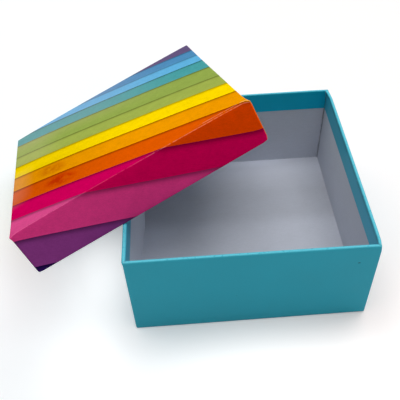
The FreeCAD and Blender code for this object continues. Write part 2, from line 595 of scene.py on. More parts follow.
            for gap in (-self.mitre_gap / 2, self.mitre_gap / 2):
                piece.pick(Element.FACE, on_flap)
                piece.slice(corner + across * gap, across, everywhere=False)
            piece.pick(Element.FACE, in_slit)
            bpy.ops.mesh.delete(type="FACE")

    def raise_laps(self, piece: Workpiece) -> None:
        """Lifts the side flaps where they lie over the tabs that wrap round the corners.

        Args:
            piece: The wrap's outer skin, in edit mode.
        """
        step = self.lap_step
        cuts = (self.lap_start, self.lap_start + step, self.lap_end, self.lap_end + self.lap_fade)
        for end in (-1, 1):
            for distance in cuts:
                piece.pick(Element.FACE, lambda face: abs(face.normal.x) > FACING)
                place = Vector((0, end * (self.half.y - distance), 0))
                piece.slice(place, Vector((0, 1, 0)), everywhere=False)
        low, high = self.base_fold + step, self.shape.height - self.rim_fold - step
        for side in (-1, 1):
            piece.pick(
                Element.POINT,
                lambda point: abs(point.co.x - side * self.half.x) < TOUCH
                and low < point.co.z < high
                and cuts[0] + step / 2 < self.inward(point.co)[1] < (cuts[2] + cuts[3]) / 2,
            )
            piece.move(Vector((side * self.paper, 0, 0)))

    def lay_out(self, piece: Workpiece) -> None:
        """Maps the wrap to the flat sheet that it was folded from, in metres.

        Each wall unfolds outwards from the outer panel, then comes the rim, and then the turned-in
        flap. V points towards the back of the half as it stands closed.

        Args:
            piece: The wrap's outer skin, before it gets its thickness.
        """
        mesh = piece.object.data
        layer = mesh.uv_layers.new(name=SHEET_MAP)
        for face in mesh.polygons:
            by_side = self.inward(face.center)[0] < self.inward(face.center)[1]
            axis = 0 if by_side else 1
            inside = self.inward(face.center)[axis] > self.rim / 2
            for corner in face.loop_indices:
                point = mesh.vertices[mesh.loops[corner].vertex_index].co
                spread = [point.x, point.y]
                depth = self.inward(point)[axis]
                if inside and face.center.z > self.board * 2:
                    run = self.half[axis] + depth + 2 * self.shape.height - point.z
                elif point.z > self.shape.height / 2:
                    run = self.half[axis] + depth + point.z
                else:
                    run = self.half[axis] - depth + point.z
                spread[axis] = math.copysign(run, spread[axis])
                layer.data[corner].uv = (spread[0], -self.front * spread[1])

    def fold_wrap(self) -> Workpiece:
        """Folds the paper: outer panel, walls, rim and turned-in flaps, with its thickness to come.

        Returns:
            The outer skin of the wrap.
        """
        piece = self.start_block(f"{self.name}_paper", 0.0, self.shape.height)
        with piece.in_edit_mode():
            self.hollow(piece, self.rim, self.turn_in)
            piece.pick(
                Element.FACE,
                lambda face: face.normal.z > FACING
                and face.calc_center_median().z < self.shape.height - CLEAR,
            )
            bpy.ops.mesh.delete(type="ONLY_FACE")
            self.round_corners(piece, self.corner, self.inner_corner)
            self.round_folds(piece)
            for axis in (0, 1):
                piece.slice_at(axis, self.cuts(self.half[axis]))
            rise = self.shape.height / 2
            piece.slice_at(2, [rise + place for place in self.cuts(rise)])
            self.slit_mitres(piece)
            self.raise_laps(piece)
            bpy.ops.mesh.select_all(action="SELECT")
            bpy.ops.mesh.remove_doubles(threshold=WELD)
        self.lay_out(piece)
        return piece

    @property
    def inner(self) -> Vector:
        """Half the width and depth between the greyboard's walls."""
        return self.half - Vector((1, 1)) * (self.paper + self.board)

    def part_walls(self, piece: Workpiece) -> None:
        """Opens the butt joint at each inner corner, where a front or back wall stops short.

        Args:
            piece: The greyboard shell, in edit mode.
        """
        inner, top = self.inner, self.shape.height - self.turn_in / 2
        piece.slice_at(0, [self.seam - inner.x, inner.x - self.seam])
        piece.slice_at(2, [top])
        for end in (-1, 1):
            piece.pick(
                Element.FACE,
                lambda face: face.normal.y * end < -FACING
                and inner.x - self.seam < abs(face.calc_center_median().x) < inner.x
                and face.calc_center_median().z < top
                and abs(face.calc_center_median().y - end * inner.y) < TOUCH,
            )
            piece.push(Vector((0, end * (self.board - self.stay_thick * 2), 0)))

    def lean_walls(self, piece: Workpiece) -> None:
        """Leaves the greyboard's walls upright; a half whose walls have moved leans them in its own
        version.
        """

    def sink_beds(self, piece: Workpiece) -> None:
        """Sinks the shallow bed that the tape lies in at each corner.

        Args:
            piece: The greyboard shell, in edit mode.
        """
        reach = self.paper + self.stay_leg
        for axis in (0, 1):
            piece.slice_at(axis, [reach - self.half[axis], self.half[axis] - reach])
        piece.slice_at(2, list(self.stay_span))

        def in_bed(face: bmesh.types.BMFace) -> bool:
            """Says whether a face of the outer walls lies under a tape.

            Args:
                face: The face.

            Returns:
                Whether it does.
            """
            middle = face.calc_center_median()
            inward = self.inward(middle)
            beside = min(inward) < self.board / 2 and max(inward) < reach
            outward = face.normal.xy.dot(middle.xy) > 0
            return beside and outward and self.stay_span[0] < middle.z < self.stay_span[1]

        piece.pick(Element.FACE, in_bed)
        bpy.ops.mesh.extrude_region_shrink_fatten(
            TRANSFORM_OT_shrink_fatten={"value": -self.stay_thick}
        )

    def shape_board(self) -> Workpiece:
        """Makes the greyboard shell that the wrap is glued to.

        Its map holds how far each point is from an inner corner, and how high it is.

        Returns:
            The shell, with the butt joints of its walls and the beds of its tapes.
        """
        top = self.shape.height - self.paper
        piece = self.start_block(f"{self.name}_greyboard", self.paper, top)
        with piece.in_edit_mode():
            self.hollow(piece, self.board, top - self.paper - self.board)
            self.round_corners(piece, self.corner - self.paper)
            self.round_folds(piece, self.paper)
            self.part_walls(piece)
            piece.slice_at(1, self.cuts(self.half.y))
            self.lean_walls(piece)
            piece.slice_at(0, self.cuts(self.half.x))
            rise = self.shape.height / 2
            piece.slice_at(2, [rise + place for place in self.cuts(rise)])
            self.sink_beds(piece)
            self.crush(piece)
        mesh = piece.object.data
        layer = mesh.uv_layers.new(name=SHELL_MAP)
        for loop in mesh.loops:
            point = mesh.vertices[loop.vertex_index].co
            away = max(self.inner.x - abs(point.x), self.inner.y - abs(point.y))
            layer.data[loop.index].uv = (away, point.z)
        return piece

    def shape_stays(self) -> dict[str, Workpiece]:
        """Makes the four tapes that hold the corners: one is bent, and the others are its copies.

        Returns:
            Each tape, under the name of its corner.
        """
        outer = self.half - Vector((1, 1)) * self.paper
        bend = outer.x - self.stay_thick
        low = Vector((outer.x - self.stay_leg, outer.y - self.stay_thick, self.stay_span[0]))
        high = Vector((outer.x, outer.y, self.stay_span[1]))
        first = Workpiece.block(f"{self.name}_tape", low, high)
        with first.in_edit_mode():
            first.slice_at(0, [bend])
            first.pick(
                Element.FACE,
                lambda face: face.normal.y < -FACING and face.calc_center_median().x > bend,
            )
            first.push(Vector((0, self.stay_thick - self.stay_leg, 0)))
            bpy.ops.mesh.select_all(action="SELECT")
            bpy.ops.mesh.dissolve_limited()
            radius = self.corner - self.paper
            for place, radius in ((outer.x, radius), (bend, radius - self.stay_thick)):
                first.pick(
                    Element.EDGE,
                    lambda edge: all(
                        abs(point.co.x - place) < TOUCH
                        and abs(point.co.y - place + outer.x - outer.y) < TOUCH
                        for point in edge.verts
                    ),
                )
                first.round(radius, CORNER_STEPS)
        taped = {}
        for side, end in CORNERS:
            corner = ("front" if end == self.front else "back") + ("_right" if side > 0 else "_left")
            taped[corner] = first.mirrored(f"{self.name}_tape_{corner}", side, end)
        bpy.data.meshes.remove(first.object.data)
        return taped

    def bend_in_cage(self, piece: Workpiece) -> None:
        """Bends a piece with a cage, as far as the used half has moved at each place.

        Args:
            piece: The piece, standing on the bench.
        """
        size = Vector((self.shape.width, self.shape.depth, self.shape.height))
        cage_data = bpy.data.lattices.new("cage")
        cage_data.points_u = cage_data.points_v = self.grid
        cage_data.points_w = 2
        cage_data.interpolation_type_u = cage_data.interpolation_type_v = "KEY_CARDINAL"
        cage_data.interpolation_type_w = "KEY_LINEAR"
        cage = bpy.data.objects.new("cage", cage_data)
        bpy.context.scene.collection.objects.link(cage)
        cage.scale = size
        cage.location = (0, 0, size.z / 2)
        for point in cage_data.points:
            moved = self.shift(*(2 * part for part in point.co))
            share = Vector(part / whole for part, whole in zip(moved, size))
            point.co_deform = point.co + share
        bpy.context.view_layer.update()
        piece.apply("LATTICE", object=cage)
        bpy.data.objects.remove(cage)

    def crush(self, piece: Workpiece) -> None:
        """Leaves the corners as they are; a half whose corners are worn marks them in its own version.
        """

    def build(
        self, finish: bpy.types.Material, lining: bpy.types.Material, tape: bpy.types.Material
    ) -> list[bpy.types.Object]:
        """Models the half's wrap, its greyboard and its corner tapes, and sets them in place.

        Args:
            finish: The wrap's material.
            lining: The greyboard's material.
            tape: The tapes' material.

        Returns:
            The finished pieces.
        """
        wrap = self.fold_wrap()
        with wrap.in_edit_mode():
            self.crush(wrap)
        wrap.apply("SOLIDIFY", thickness=self.paper, offset=-1.0)
        pieces = [
            (wrap, finish, self.slot, f"{self.name}_wrap"),
            (self.shape_board(), lining, Slot.BOARD, f"{self.name}_board"),
        ]
        for corner, stay in self.shape_stays().items():
            pieces.append((stay, tape, Slot.TAPE, f"{self.name}_stay_{corner}"))
        made = []
        for piece, material, slot, node in pieces:
            self.bend_in_cage(piece)
            made.append(piece.finish(self.shape.place, material, slot, node))
        return made


@dataclass
class Tray(PaperedHalf):
    """The teal tray, which has gone a little out of square at its front.

    Attributes:
        foot_slips: How far the front left and front right feet stand out.
        rim_slips: How far the same corners have moved at the rim.
        rim_arch: How far the middle of the front rim stands above its ends.
        knock: How the rim's front right corner is knocked in.
        knock_reach: How far the knock is felt.
        pinch: How the turned-in paper stands off in the back right corner.
        pinch_reach: How far that is felt.
        spread: How far the left rim has been pressed outwards, and how far that is felt.
        lean: From where on the left wall's lining has slid in at its foot, and how much further
            from each of those places on.
    """

    foot_slips: tuple[Vector, Vector] = (Vector((0.2, -0.8, 0)) * MM, Vector((0.5, 0.0, 0)) * MM)
    rim_slips: tuple[Vector, Vector] = (Vector((-0.05, 0.0, 0)) * MM, Vector((-0.3, 0.0, 0)) * MM)
    rim_arch: float = 0.35 * MM
    knock: Vector = field(default_factory=lambda: Vector((-0.35, 0.2, -0.45)) * MM)
    knock_reach: float = 4.0 * MM
    pinch: Vector = field(default_factory=lambda: Vector((-1.2, -0.2, 0)) * MM)
    pinch_reach: float = 6.0 * MM
    spread: Two = (0.45 * MM, 3.5 * MM)
    lean: tuple[Two, ...] = tuple(
        (place * MM, slide * MM)
        for place, slide in ((-57, 0.3), (-45, 0.3), (-33, 0.4), (-21, 0.5), (-9, 0.8), (3, 0.7))
    )

    def shift(self, across: float, ahead: float, level: float) -> Vector:
        """Says how far the tray has moved: its front feet stand out and its front rim arches.

        Args:
            across: Place from the left side, -1, to the right side, 1.
            ahead: Place from the front, -1, to the back, 1.
            level: Place from the foot, -1, to the rim, 1.

        Returns:
            The movement on the bench.
        """
        rise, near = (1 + level) / 2, (1 - ahead) / 2
        moved = Vector((0, 0, self.rim_arch * (1 - across**2) * near * rise))
        for foot, rim, side in zip(self.foot_slips, self.rim_slips, (-1, 1)):
            moved += foot.lerp(rim, rise) * near * (1 + side * across) / 2
        return moved

    def lean_walls(self, piece: Workpiece) -> None:
        """Slides the foot of the left wall's lining inwards, step by step towards the back.

        Args:
            piece: The greyboard shell, in edit mode.
        """
        foot, end = self.paper + self.board, self.inner.y - 3 * self.board
        piece.slice_at(2, [self.shape.height - self.turn_in - self.board])
        for start, slide in self.lean:
            piece.pick(
                Element.POINT,
                lambda point: start < point.co.y < end
                and abs(point.co.z - foot) < TOUCH
                and point.co.x < 0,
            )
            piece.move(Vector((slide, 0, 0)))

    def crush(self, piece: Workpiece) -> None:
        """Knocks and pinches two corners of the rim, and presses its left side outwards.

        Args:
            piece: The wrap or the shell, in edit mode.
        """
        corner = Vector((self.half.x, -self.half.y, self.shape.height))
        near, deep = 2 * self.rim_fold, 3 * self.rim_fold
        piece.pick(Element.POINT, lambda point: (point.co - corner).length < near)
        piece.pull(self.knock, self.knock_reach)
        inner = Vector((self.half.x - self.rim, self.half.y - self.rim, self.shape.height))
        piece.pick(
            Element.POINT,
            lambda point: abs(point.co.x - inner.x) < self.rim_fold
            and abs(point.co.y - inner.y) < self.rim_fold
            and point.co.z > inner.z - deep,
        )
        piece.pull(self.pinch, self.pinch_reach, "SHARP")
        amount, reach = self.spread
        piece.pick(
            Element.POINT,
            lambda point: point.co.x < self.paper * 2 - self.half.x
            and abs(point.co.y) < self.half.y - near
            and point.co.z > self.shape.height - near,
        )
        piece.pull(Vector((-amount, 0, 0)), reach, "SHARP")


@dataclass
class Lid(PaperedHalf):
    """The striped lid, which has warped: its top is crowned and its top edges bow.

    Attributes:
        corner_lift: How far the top's front left, front right, back left and back right corners
            stand above the flat panel.
        edge_bow: How far the middles of the front, back, left and right edges stand above the
            line between their corners.
        crown: How far the middle stands above what its edges give.
        waist: How far the middles of the top's left and right edges have drawn in.
        dents: For each worn corner, its side, its end along Y, the heights between which it is
            worn as shares of the lid's, how it is pushed and how far that is felt.
    """

    corner_lift: Four = (1.0 * MM, 0.35 * MM, 0.25 * MM, -0.9 * MM)
    edge_bow: Four = (0.65 * MM, 0.43 * MM, 0.6 * MM, -0.65 * MM)
    crown: float = 1.26 * MM
    waist: Two = (0.7 * MM, 0.4 * MM)
    dents: tuple[tuple[int, int, float, float, Vector, float], ...] = (
        (1, 1, 0.0, 1.0, Vector((1.4, 0.0, 0.0)) * MM, 4.0 * MM),
        (-1, 1, 0.0, 1.0, Vector((-0.4, 0.0, 0.0)) * MM, 6.0 * MM),
        (1, 1, 0.0, 0.0, Vector((-0.2, 0.0, 1.0)) * MM, 3.5 * MM),
        (-1, 1, 0.0, 0.0, Vector((-0.5, 0.1, 0.7)) * MM, 4.0 * MM),
        (1, 1, 1.0, 1.0, Vector((-0.5, 0.0, -0.4)) * MM, 3.0 * MM),
        (-1, 1, 1.0, 1.0, Vector((0.1, -0.1, -0.2)) * MM, 2.5 * MM),
    )

    def shift(self, across: float, ahead: float, level: float) -> Vector:
        """Says how far the lid has moved: its top is warped, and its rim stays where it is.

        Args:
            across: Place from the left side, -1, to the right side, 1.
            ahead: Place from the back, -1, to the front, 1.
            level: Place from the top panel, -1, to the rim, 1.

        Returns:
            The movement on the bench.
        """
        left, right = (1 - across) / 2, (1 + across) / 2
        far, near = (1 - ahead) / 2, (1 + ahead) / 2
        arch, sweep = 1 - across**2, 1 - ahead**2
        corners = zip(self.corner_lift, (near * left, near * right, far * left, far * right))
        edges = zip(self.edge_bow, (arch * near, arch * far, sweep * left, sweep * right))
        lift = sum(height * share for height, share in (*corners, *edges))
        lift += self.crown * arch * sweep
        drawn = (self.waist[0] * left - self.waist[1] * right) * sweep
        return Vector((drawn, 0, -lift)) * (1 - level) / 2

    def crush(self, piece: Workpiece) -> None:
        """Wears the lid's front corners, and leaves the ear of paper that stands out at one.

        Args:
            piece: The wrap or the shell, in edit mode.
        """
        near = 1.5 * self.corner
        for side, end, low, high, offset, reach in self.dents:
            corner = Vector((side * self.half.x, end * self.half.y))
            bottom, top = low * self.shape.height - near, high * self.shape.height + near
            piece.pick(
                Element.POINT,
                lambda point: (point.co.xy - corner).length < near and bottom < point.co.z < top,
            )
            piece.pull(offset, reach, "SHARP")


# ---------------------------------------------------------------------------
# The finishes
# ---------------------------------------------------------------------------


class Wiring:
    """Adds and joins the nodes of one tree."""

    def __init__(self, tree: bpy.types.NodeTree) -> None:
        """Takes the tree to work in."""
        self.tree = tree

    def node(self, kind: str, **settings: object) -> bpy.types.Node:
        """Adds a node.

        Args:
            kind: The node's type.
            **settings: Its settings.

        Returns:
            The node.
        """
        made = self.tree.nodes.new(kind)
        for key, value in settings.items():
            setattr(made, key, value)
        return made

    def feed(self, socket: Socket, source: Source) -> None:
        """Links a socket to another one, or sets its value.

        Args:
            socket: The socket to feed.
            source: A socket, a value, or None to leave it as it is.
        """
        if isinstance(source, bpy.types.NodeSocket):
            self.tree.links.new(source, socket)
        elif source is not None:
            socket.default_value = source

    def math(self, operation: str, *values: Source, clamp: bool = False) -> Socket:
        """Adds a Math node.

        Args:
            operation: Its operation.
            *values: Sockets or numbers for its inputs.
            clamp: Whether the result is kept from 0 to 1.

        Returns:
            The result's socket.
        """
        made = self.node("ShaderNodeMath", operation=operation, use_clamp=clamp)
        for socket, value in zip(made.inputs, values):
            self.feed(socket, value)
        return made.outputs[0]

    def product(self, *values: Source) -> Source:
        """Multiplies several sockets or numbers."""
        return reduce(partial(self.math, "MULTIPLY"), values)

    def total(self, *values: Source) -> Source:
        """Adds several sockets or numbers."""
        return reduce(partial(self.math, "ADD"), values)

    def step(self, value: Source, start: float, end: float) -> Socket:
        """Rises smoothly from 0 to 1.

        Args:
            value: What it follows.
            start: Where that is when the step starts.
            end: Where that is when the step ends, above or below the start.

        Returns:
            The step's socket.
        """
        made = self.node("ShaderNodeMapRange", interpolation_type="SMOOTHSTEP")
        for index, source in enumerate((value, start, end)):
            self.feed(made.inputs[index], source)
        return made.outputs[0]

    def far(self, value: Source, middle: float, reach: float) -> Socket:
        """Squares how many reaches a value lies from a middle."""
        reaches = self.math("DIVIDE", self.math("SUBTRACT", value, middle), reach)
        return self.math("POWER", reaches, 2.0)

    def bell(self, *squares: Source) -> Socket:
        """Falls softly from 1, as the sum of some squared distances grows."""
        return self.math("EXPONENT", self.product(self.total(*squares), -1.0))

    def blend(self, amount: Source, under: Source, over: Source) -> Socket:
        """Mixes two colours.

        Args:
            amount: How much of the second one, a socket or a number.
            under: The first colour.
            over: The second colour.

        Returns:
            The mixed colour's socket.
        """
        made = self.node("ShaderNodeMix", data_type="RGBA")
        for index, source in ((0, amount), (6, under), (7, over)):
            self.feed(made.inputs[index], source)
        return made.outputs[2]

    def dim(self, colour: Source, tone: Source) -> Socket:
        """Multiplies a colour by a number.

        Args:
            colour: The colour.
            tone: The number, or its socket.

        Returns:
            The new colour's socket.
        """
        made = self.node("ShaderNodeVectorMath", operation="SCALE")
        self.feed(made.inputs[0], colour[:3] if isinstance(colour, tuple) else colour)
        self.feed(made.inputs["Scale"], tone)
        return made.outputs[0]

    def lighten(self, colour: Source, *shares: Source) -> Socket:
        """Makes a colour lighter by several shares of itself, which may be negative."""
        return self.dim(colour, self.total(1.0, *shares))

    def stretch(self, value: Source, by: Three) -> Socket:
        """Multiplies coordinates, or a colour's channels, one by one.

        Args:
            value: The coordinates or the colour.
            by: What each of the three is multiplied by.

        Returns:
            The result's socket.
        """
        made = self.node("ShaderNodeVectorMath", operation="MULTIPLY")
        self.feed(made.inputs[0], value)
        made.inputs[1].default_value = by
        return made.outputs[0]

    def regrade(self, amount: Source, colour: Source, shares: Three) -> Socket:
        """Keeps a share of each channel of a colour, as far as the amount goes from 0 to 1."""
        return self.blend(amount, colour, self.stretch(colour, shares))

    def noise(self, place: Source, size: Source, detail: float, rough: float = 0.5) -> Socket:
        """Adds noise.

        Args:
            place: Coordinates in metres.
            size: The size of its patches in millimetres.
            detail: How many finer layers it has.
            rough: How strong those are.

        Returns:
            The socket of its value, which stays near one half.
        """
        made = self.node("ShaderNodeTexNoise")
        self.feed(made.inputs["Vector"], place)
        self.feed(made.inputs["Scale"], self.math("DIVIDE", 1 / MM, size))
        self.feed(made.inputs["Detail"], detail)
        self.feed(made.inputs["Roughness"], rough)
        return made.outputs["Fac"]

    def axes(self, place: Source) -> tuple[Socket, Socket]:
        """Splits coordinates.

        Args:
            place: Coordinates in metres.

        Returns:
            The sockets of the first two, in millimetres.
        """
        split = self.node("ShaderNodeSeparateXYZ")
        self.feed(split.inputs[0], place)
        return tuple(self.math("DIVIDE", split.outputs[index], MM) for index in (0, 1))

    def parts(self, map_name: str) -> tuple[Socket, Socket]:
        """Gives the two coordinates of a UV map in millimetres."""
        return self.axes(self.node("ShaderNodeUVMap", uv_map=map_name).outputs[0])

    def place(self, group: bpy.types.NodeTree, **values: Source) -> bpy.types.Node:
        """Places a node group.

        Args:
            group: The group.
            **values: What its inputs are fed, with underscores for spaces in their names.

        Returns:
            The group's node.
        """
        made = self.node("ShaderNodeGroup", node_tree=group)
        for name, source in values.items():
            self.feed(made.inputs[name.replace("_", " ")], source)
        return made


@dataclass
class Effects:
    """The effects that several finishes share, each a node group that is built once.

    Attributes:
        fibre_shape: How the coordinates are stretched to draw the fibres out.
        fibre_scale: How much larger the fibres are than the grain.
        grain_share: How much of the tooth is grain. The rest is fibres.
        hold: How sharply a fold's mark breaks off where the paper has held.
        fade: How fast the mark fades away from the fold.
    """

    fibre_shape: Three = (0.35, 1.0, 1.0)
    fibre_scale: float = 1.4
    grain_share: float = 0.6
    hold: float = 5.0
    fade: float = 1.3

    def __post_init__(self) -> None:
        """Builds the groups."""
        self.tooth = self.make_tooth()
        self.fold = self.make_fold()
        self.handling = self.make_handling()
        self.dust = self.make_dust()
        self.strip = self.make_strip()

    @staticmethod
    def start(
        name: str, inputs: dict[str, object], outputs: tuple[str, ...]
    ) -> tuple[Wiring, dict[str, Socket], dict[str, Socket]]:
        """Starts a group with named sockets.

        Args:
            name: The group's name.
            inputs: Each input's default: a number, a colour's four numbers, or None for a place.
            outputs: Its outputs' names. One called "Colour" is a colour; the others are numbers.

        Returns:
            The wiring, and the sockets that the group is given and has to feed.
        """
        tree = bpy.data.node_groups.new(name, "ShaderNodeTree")
        for label, default in inputs.items():
            kind = {float: "Float", tuple: "Color"}.get(type(default), "Vector")
            socket = tree.interface.new_socket(label, in_out="INPUT", socket_type=f"NodeSocket{kind}")
            if default is not None:
                socket.default_value = default
        for label in outputs:
            kind = "Color" if label == "Colour" else "Float"
            tree.interface.new_socket(label, in_out="OUTPUT", socket_type=f"NodeSocket{kind}")
        wiring = Wiring(tree)
        given = {socket.name: socket for socket in wiring.node("NodeGroupInput").outputs}
        result = {socket.name: socket for socket in wiring.node("NodeGroupOutput").inputs}
        return wiring, given, result

    def make_tooth(self) -> bpy.types.NodeTree:
        """Makes the fine tooth of paper and board: short fibres over a fine grain.

        Returns:
            The node group.
        """
        wiring, given, result = self.start(
            "paper_tooth", {"Place": None, "Fibre Size": 0.6, "Contrast": 1.0}, ("Height", "Tone")
        )
        grain = wiring.noise(given["Place"], given["Fibre Size"], FINE_DETAIL, GRAIN_ROUGHNESS)
        along = wiring.stretch(given["Place"], self.fibre_shape)
        size = wiring.product(given["Fibre Size"], self.fibre_scale)
        both = wiring.total(
            wiring.product(grain, self.grain_share),
            wiring.product(wiring.noise(along, size, SOFT_DETAIL), 1.0 - self.grain_share),
        )
        wiring.feed(result["Height"], both)
        about_zero = wiring.math("SUBTRACT", both, NOISE_MEAN)
        wiring.feed(result["Tone"], wiring.product(about_zero, given["Contrast"]))
        return wiring.tree

    def make_fold(self) -> bpy.types.NodeTree:
        """Makes a fold's line, broken where the paper has held, for wear and painted highlight and
        shade.

        Returns:
            The node group.
        """
        wiring, given, result = self.start(
            "fold_mark",
            {"Place": None, "Run": 0.0, "Fold": 0.0, "Width": 1.0, "Patch Size": 2.0, "Cover": 1.0},
            ("Mask",),
        )
        off = wiring.math("ABSOLUTE", wiring.math("SUBTRACT", given["Run"], given["Fold"]))
        near = wiring.math("SUBTRACT", 1.0, wiring.math("DIVIDE", off, given["Width"]), clamp=True)
        grain = wiring.noise(given["Place"], given["Patch Size"], FINE_DETAIL, GRAIN_ROUGHNESS)
        patch = wiring.math("SUBTRACT", grain, NOISE_MEAN)
        held = wiring.math("MULTIPLY_ADD", patch, self.hold, given["Cover"], clamp=True)
        wiring.feed(result["Mask"], wiring.product(wiring.math("POWER", near, self.fade), held))
        return wiring.tree

    def make_handling(self) -> bpy.types.NodeTree:
        """Makes the broad, soft unevenness of glued and handled paper.

        Returns:
            The node group.
        """
        wiring, given, result = self.start("handling", {"Place": None, "Patch Size": 25.0}, ("Tone",))
        broad = wiring.noise(given["Place"], given["Patch Size"], SOFT_DETAIL)
        wiring.feed(result["Tone"], wiring.math("SUBTRACT", broad, NOISE_MEAN))
        return wiring.tree

    def make_dust(self) -> bpy.types.NodeTree:
        """Makes sparse small specks of dust.

        Returns:
            The node group.
        """
        wiring, given, result = self.start(
            "dust", {"Place": None, "Spacing": 6.0, "Size": 0.02}, ("Mask",)
        )
        cells = wiring.node("ShaderNodeTexVoronoi")
        wiring.feed(cells.inputs["Vector"], given["Place"])
        wiring.feed(cells.inputs["Scale"], wiring.math("DIVIDE", 1 / MM, given["Spacing"]))
        speck = wiring.math("LESS_THAN", cells.outputs["Distance"], given["Size"])
        wiring.feed(result["Mask"], speck)
        return wiring.tree

    def make_strip(self) -> bpy.types.NodeTree:
        """Makes one printed strip that is laid over what is there, below its upper edge.

        Returns:
            The node group.
        """
        black = (0.0, 0.0, 0.0, 1.0)
        wiring, given, result = self.start(
            "laid_strip",
            {"Run": 0.0, "Edge": 0.0, "Under": black, "Strip": black, "Fall": FAR, "Rise": FAR},
            ("Colour", "Fall", "Rise"),
        )
        depth = wiring.math("SUBTRACT", given["Edge"], given["Run"])
        below = wiring.math("GREATER_THAN", depth, 0.0)
        above = wiring.math("SUBTRACT", 1.0, below)
        wiring.feed(result["Colour"], wiring.blend(below, given["Under"], given["Strip"]))
        kept = wiring.product(given["Fall"], above)
        wiring.feed(result["Fall"], wiring.math("MULTIPLY_ADD", depth, below, kept))
        over = wiring.math("MULTIPLY_ADD", below, FAR, wiring.math("ABSOLUTE", depth))
        wiring.feed(result["Rise"], wiring.math("MINIMUM", given["Rise"], over))
        return wiring.tree


class Surface(Wiring):
    """The wiring of one material, with what its finish works on.

    Attributes:
        material: The material.
        shader: Its shader.
        effects: The shared effects.
        point: The socket of the place on the object.
    """

    def __init__(self, name: str, effects: Effects) -> None:
        """Starts a material that holds nothing but its shader.

        Args:
            name: The material's name.
            effects: The shared effects.
        """
        self.material = bpy.data.materials.new(name)
        self.material.use_nodes = True
        super().__init__(self.material.node_tree)
        self.tree.nodes.clear()
        self.effects = effects
        self.shader = self.node("ShaderNodeBsdfPrincipled")
        output = self.node("ShaderNodeOutputMaterial")
        self.feed(output.inputs["Surface"], self.shader.outputs[0])
        self.point = self.node("ShaderNodeTexCoord").outputs["Object"]

    def fold(self, run: Source, at: float, width: float, cover: float = 1.0) -> Socket:
        """Marks a fold.

        Args:
            run: The distance across it in millimetres.
            at: Where it lies.
            width: How wide the mark is.
            cover: How unbroken the mark is.

        Returns:
            The mark's mask.
        """
        group = self.effects.fold
        made = self.place(group, Place=self.point, Run=run, Fold=at, Width=width, Cover=cover)
        return made.outputs["Mask"]

    def handling(self, size: float) -> Socket:
        """Gives the tone of soft patches of a size in millimetres."""
        return self.place(self.effects.handling, Place=self.point, Patch_Size=size).outputs["Tone"]


class Way(Enum):
    """The ways along which the place of wear and painted light is measured, in millimetres."""

    ACROSS = "to the right, from the middle"
    BACK = "to the back, from the middle"
    RUN = "to the back, square to the printed strips"
    FROM_LEFT = "to the right, from the left fold"
    FROM_RIGHT = "to the right, from the right fold"
    FROM_FRONT = "to the back, from the front fold"


@dataclass(frozen=True)
class Ramp:
    """A smooth rise from 0 to 1.

    Attributes:
        way: What it follows.
        start: Where it starts.
        end: Where it ends.
    """

    way: Way
    start: float
    end: float

    def rise(self, wiring: Wiring, ways: dict[Way, Source]) -> Socket:
        """Wires the rise, with the socket of each way."""
        return wiring.step(ways[self.way], self.start, self.end)


@dataclass(frozen=True)
class Wash:
    """A colour or tone laid on where all its ramps have risen, for wear and for painted light and
    shade.

    Attributes:
        share: How strong it is, and below 0 where it darkens.
        ramps: Where it lies.
        paint: Its colour, where it is not a tone.
    """

    share: float
    ramps: tuple[Ramp, ...]
    paint: Colour | None = None

    def strength(self, wiring: Wiring, ways: dict[Way, Source]) -> Socket:
        """Wires how strong it is from place to place, with the socket of each way."""
        return wiring.product(*(ramp.rise(wiring, ways) for ramp in self.ramps), self.share)


@dataclass(frozen=True)
class Finish:
    """What every finish shares. All its lengths are in millimetres unless it says metres.

    Attributes:
        name: The material's name.
        roughness: The mean roughness.
        gloss: The specular level.
        relief: The bump's distance, in metres.
        fibre: The size of the fibres.
        contrast: How much the fibres show in the tone.
        patch: The size of the soft patches.
        patch_tone: How much the patches show in the tone.
        patch_rough: How much they show in the roughness.
        heights: How high the fibres and the patches stand in the relief.
    """

    name: str
    roughness: float = 0.5
    gloss: float = 0.5
    relief: float = 0.02 * MM
    fibre: float = 0.6
    contrast: float = 0.2
    patch: float = 20.0
    patch_tone: float = 0.0
    patch_rough: float = 0.1
    heights: Two = (1.0, 0.0)

    def start(self, effects: Effects) -> tuple[Surface, Socket, Socket]:
        """Starts the material, with its tooth and its soft patches.

        Args:
            effects: The shared effects.

        Returns:
            The surface, how much lighter it is from place to place, and how high it stands.
        """
        surface = Surface(self.name, effects)
        surface.shader.inputs["Specular IOR Level"].default_value = self.gloss
        tooth = surface.place(
            effects.tooth, Place=surface.point, Fibre_Size=self.fibre, Contrast=self.contrast
        )
        patches = surface.handling(self.patch)
        rough = surface.math("MULTIPLY_ADD", patches, self.patch_rough, self.roughness)
        surface.feed(surface.shader.inputs["Roughness"], rough)
        tone = surface.total(tooth.outputs["Tone"], surface.product(patches, self.patch_tone))
        height = surface.total(
            surface.product(tooth.outputs["Height"], self.heights[0]),
            surface.product(patches, self.heights[1]),
        )
        return surface, tone, height

    def end(self, surface: Surface, colour: Source, height: Source) -> bpy.types.Material:
        """Feeds the shader, and the height through a bump.

        Args:
            surface: The surface.
            colour: Its colour.
            height: How high it stands.

        Returns:
            The finished material.
        """
        bump = surface.node("ShaderNodeBump")
        bump.inputs["Strength"].default_value = 1.0
        bump.inputs["Distance"].default_value = self.relief
        surface.feed(bump.inputs["Height"], height)
        surface.feed(surface.shader.inputs["Normal"], bump.outputs[0])
        surface.feed(surface.shader.inputs["Base Color"], colour)
        return surface.material

    def build(self, effects: Effects) -> bpy.types.Material:
        """Builds the material.

        Args:
            effects: The shared effects.

        Returns:
            The material.
        """
        raise NotImplementedError


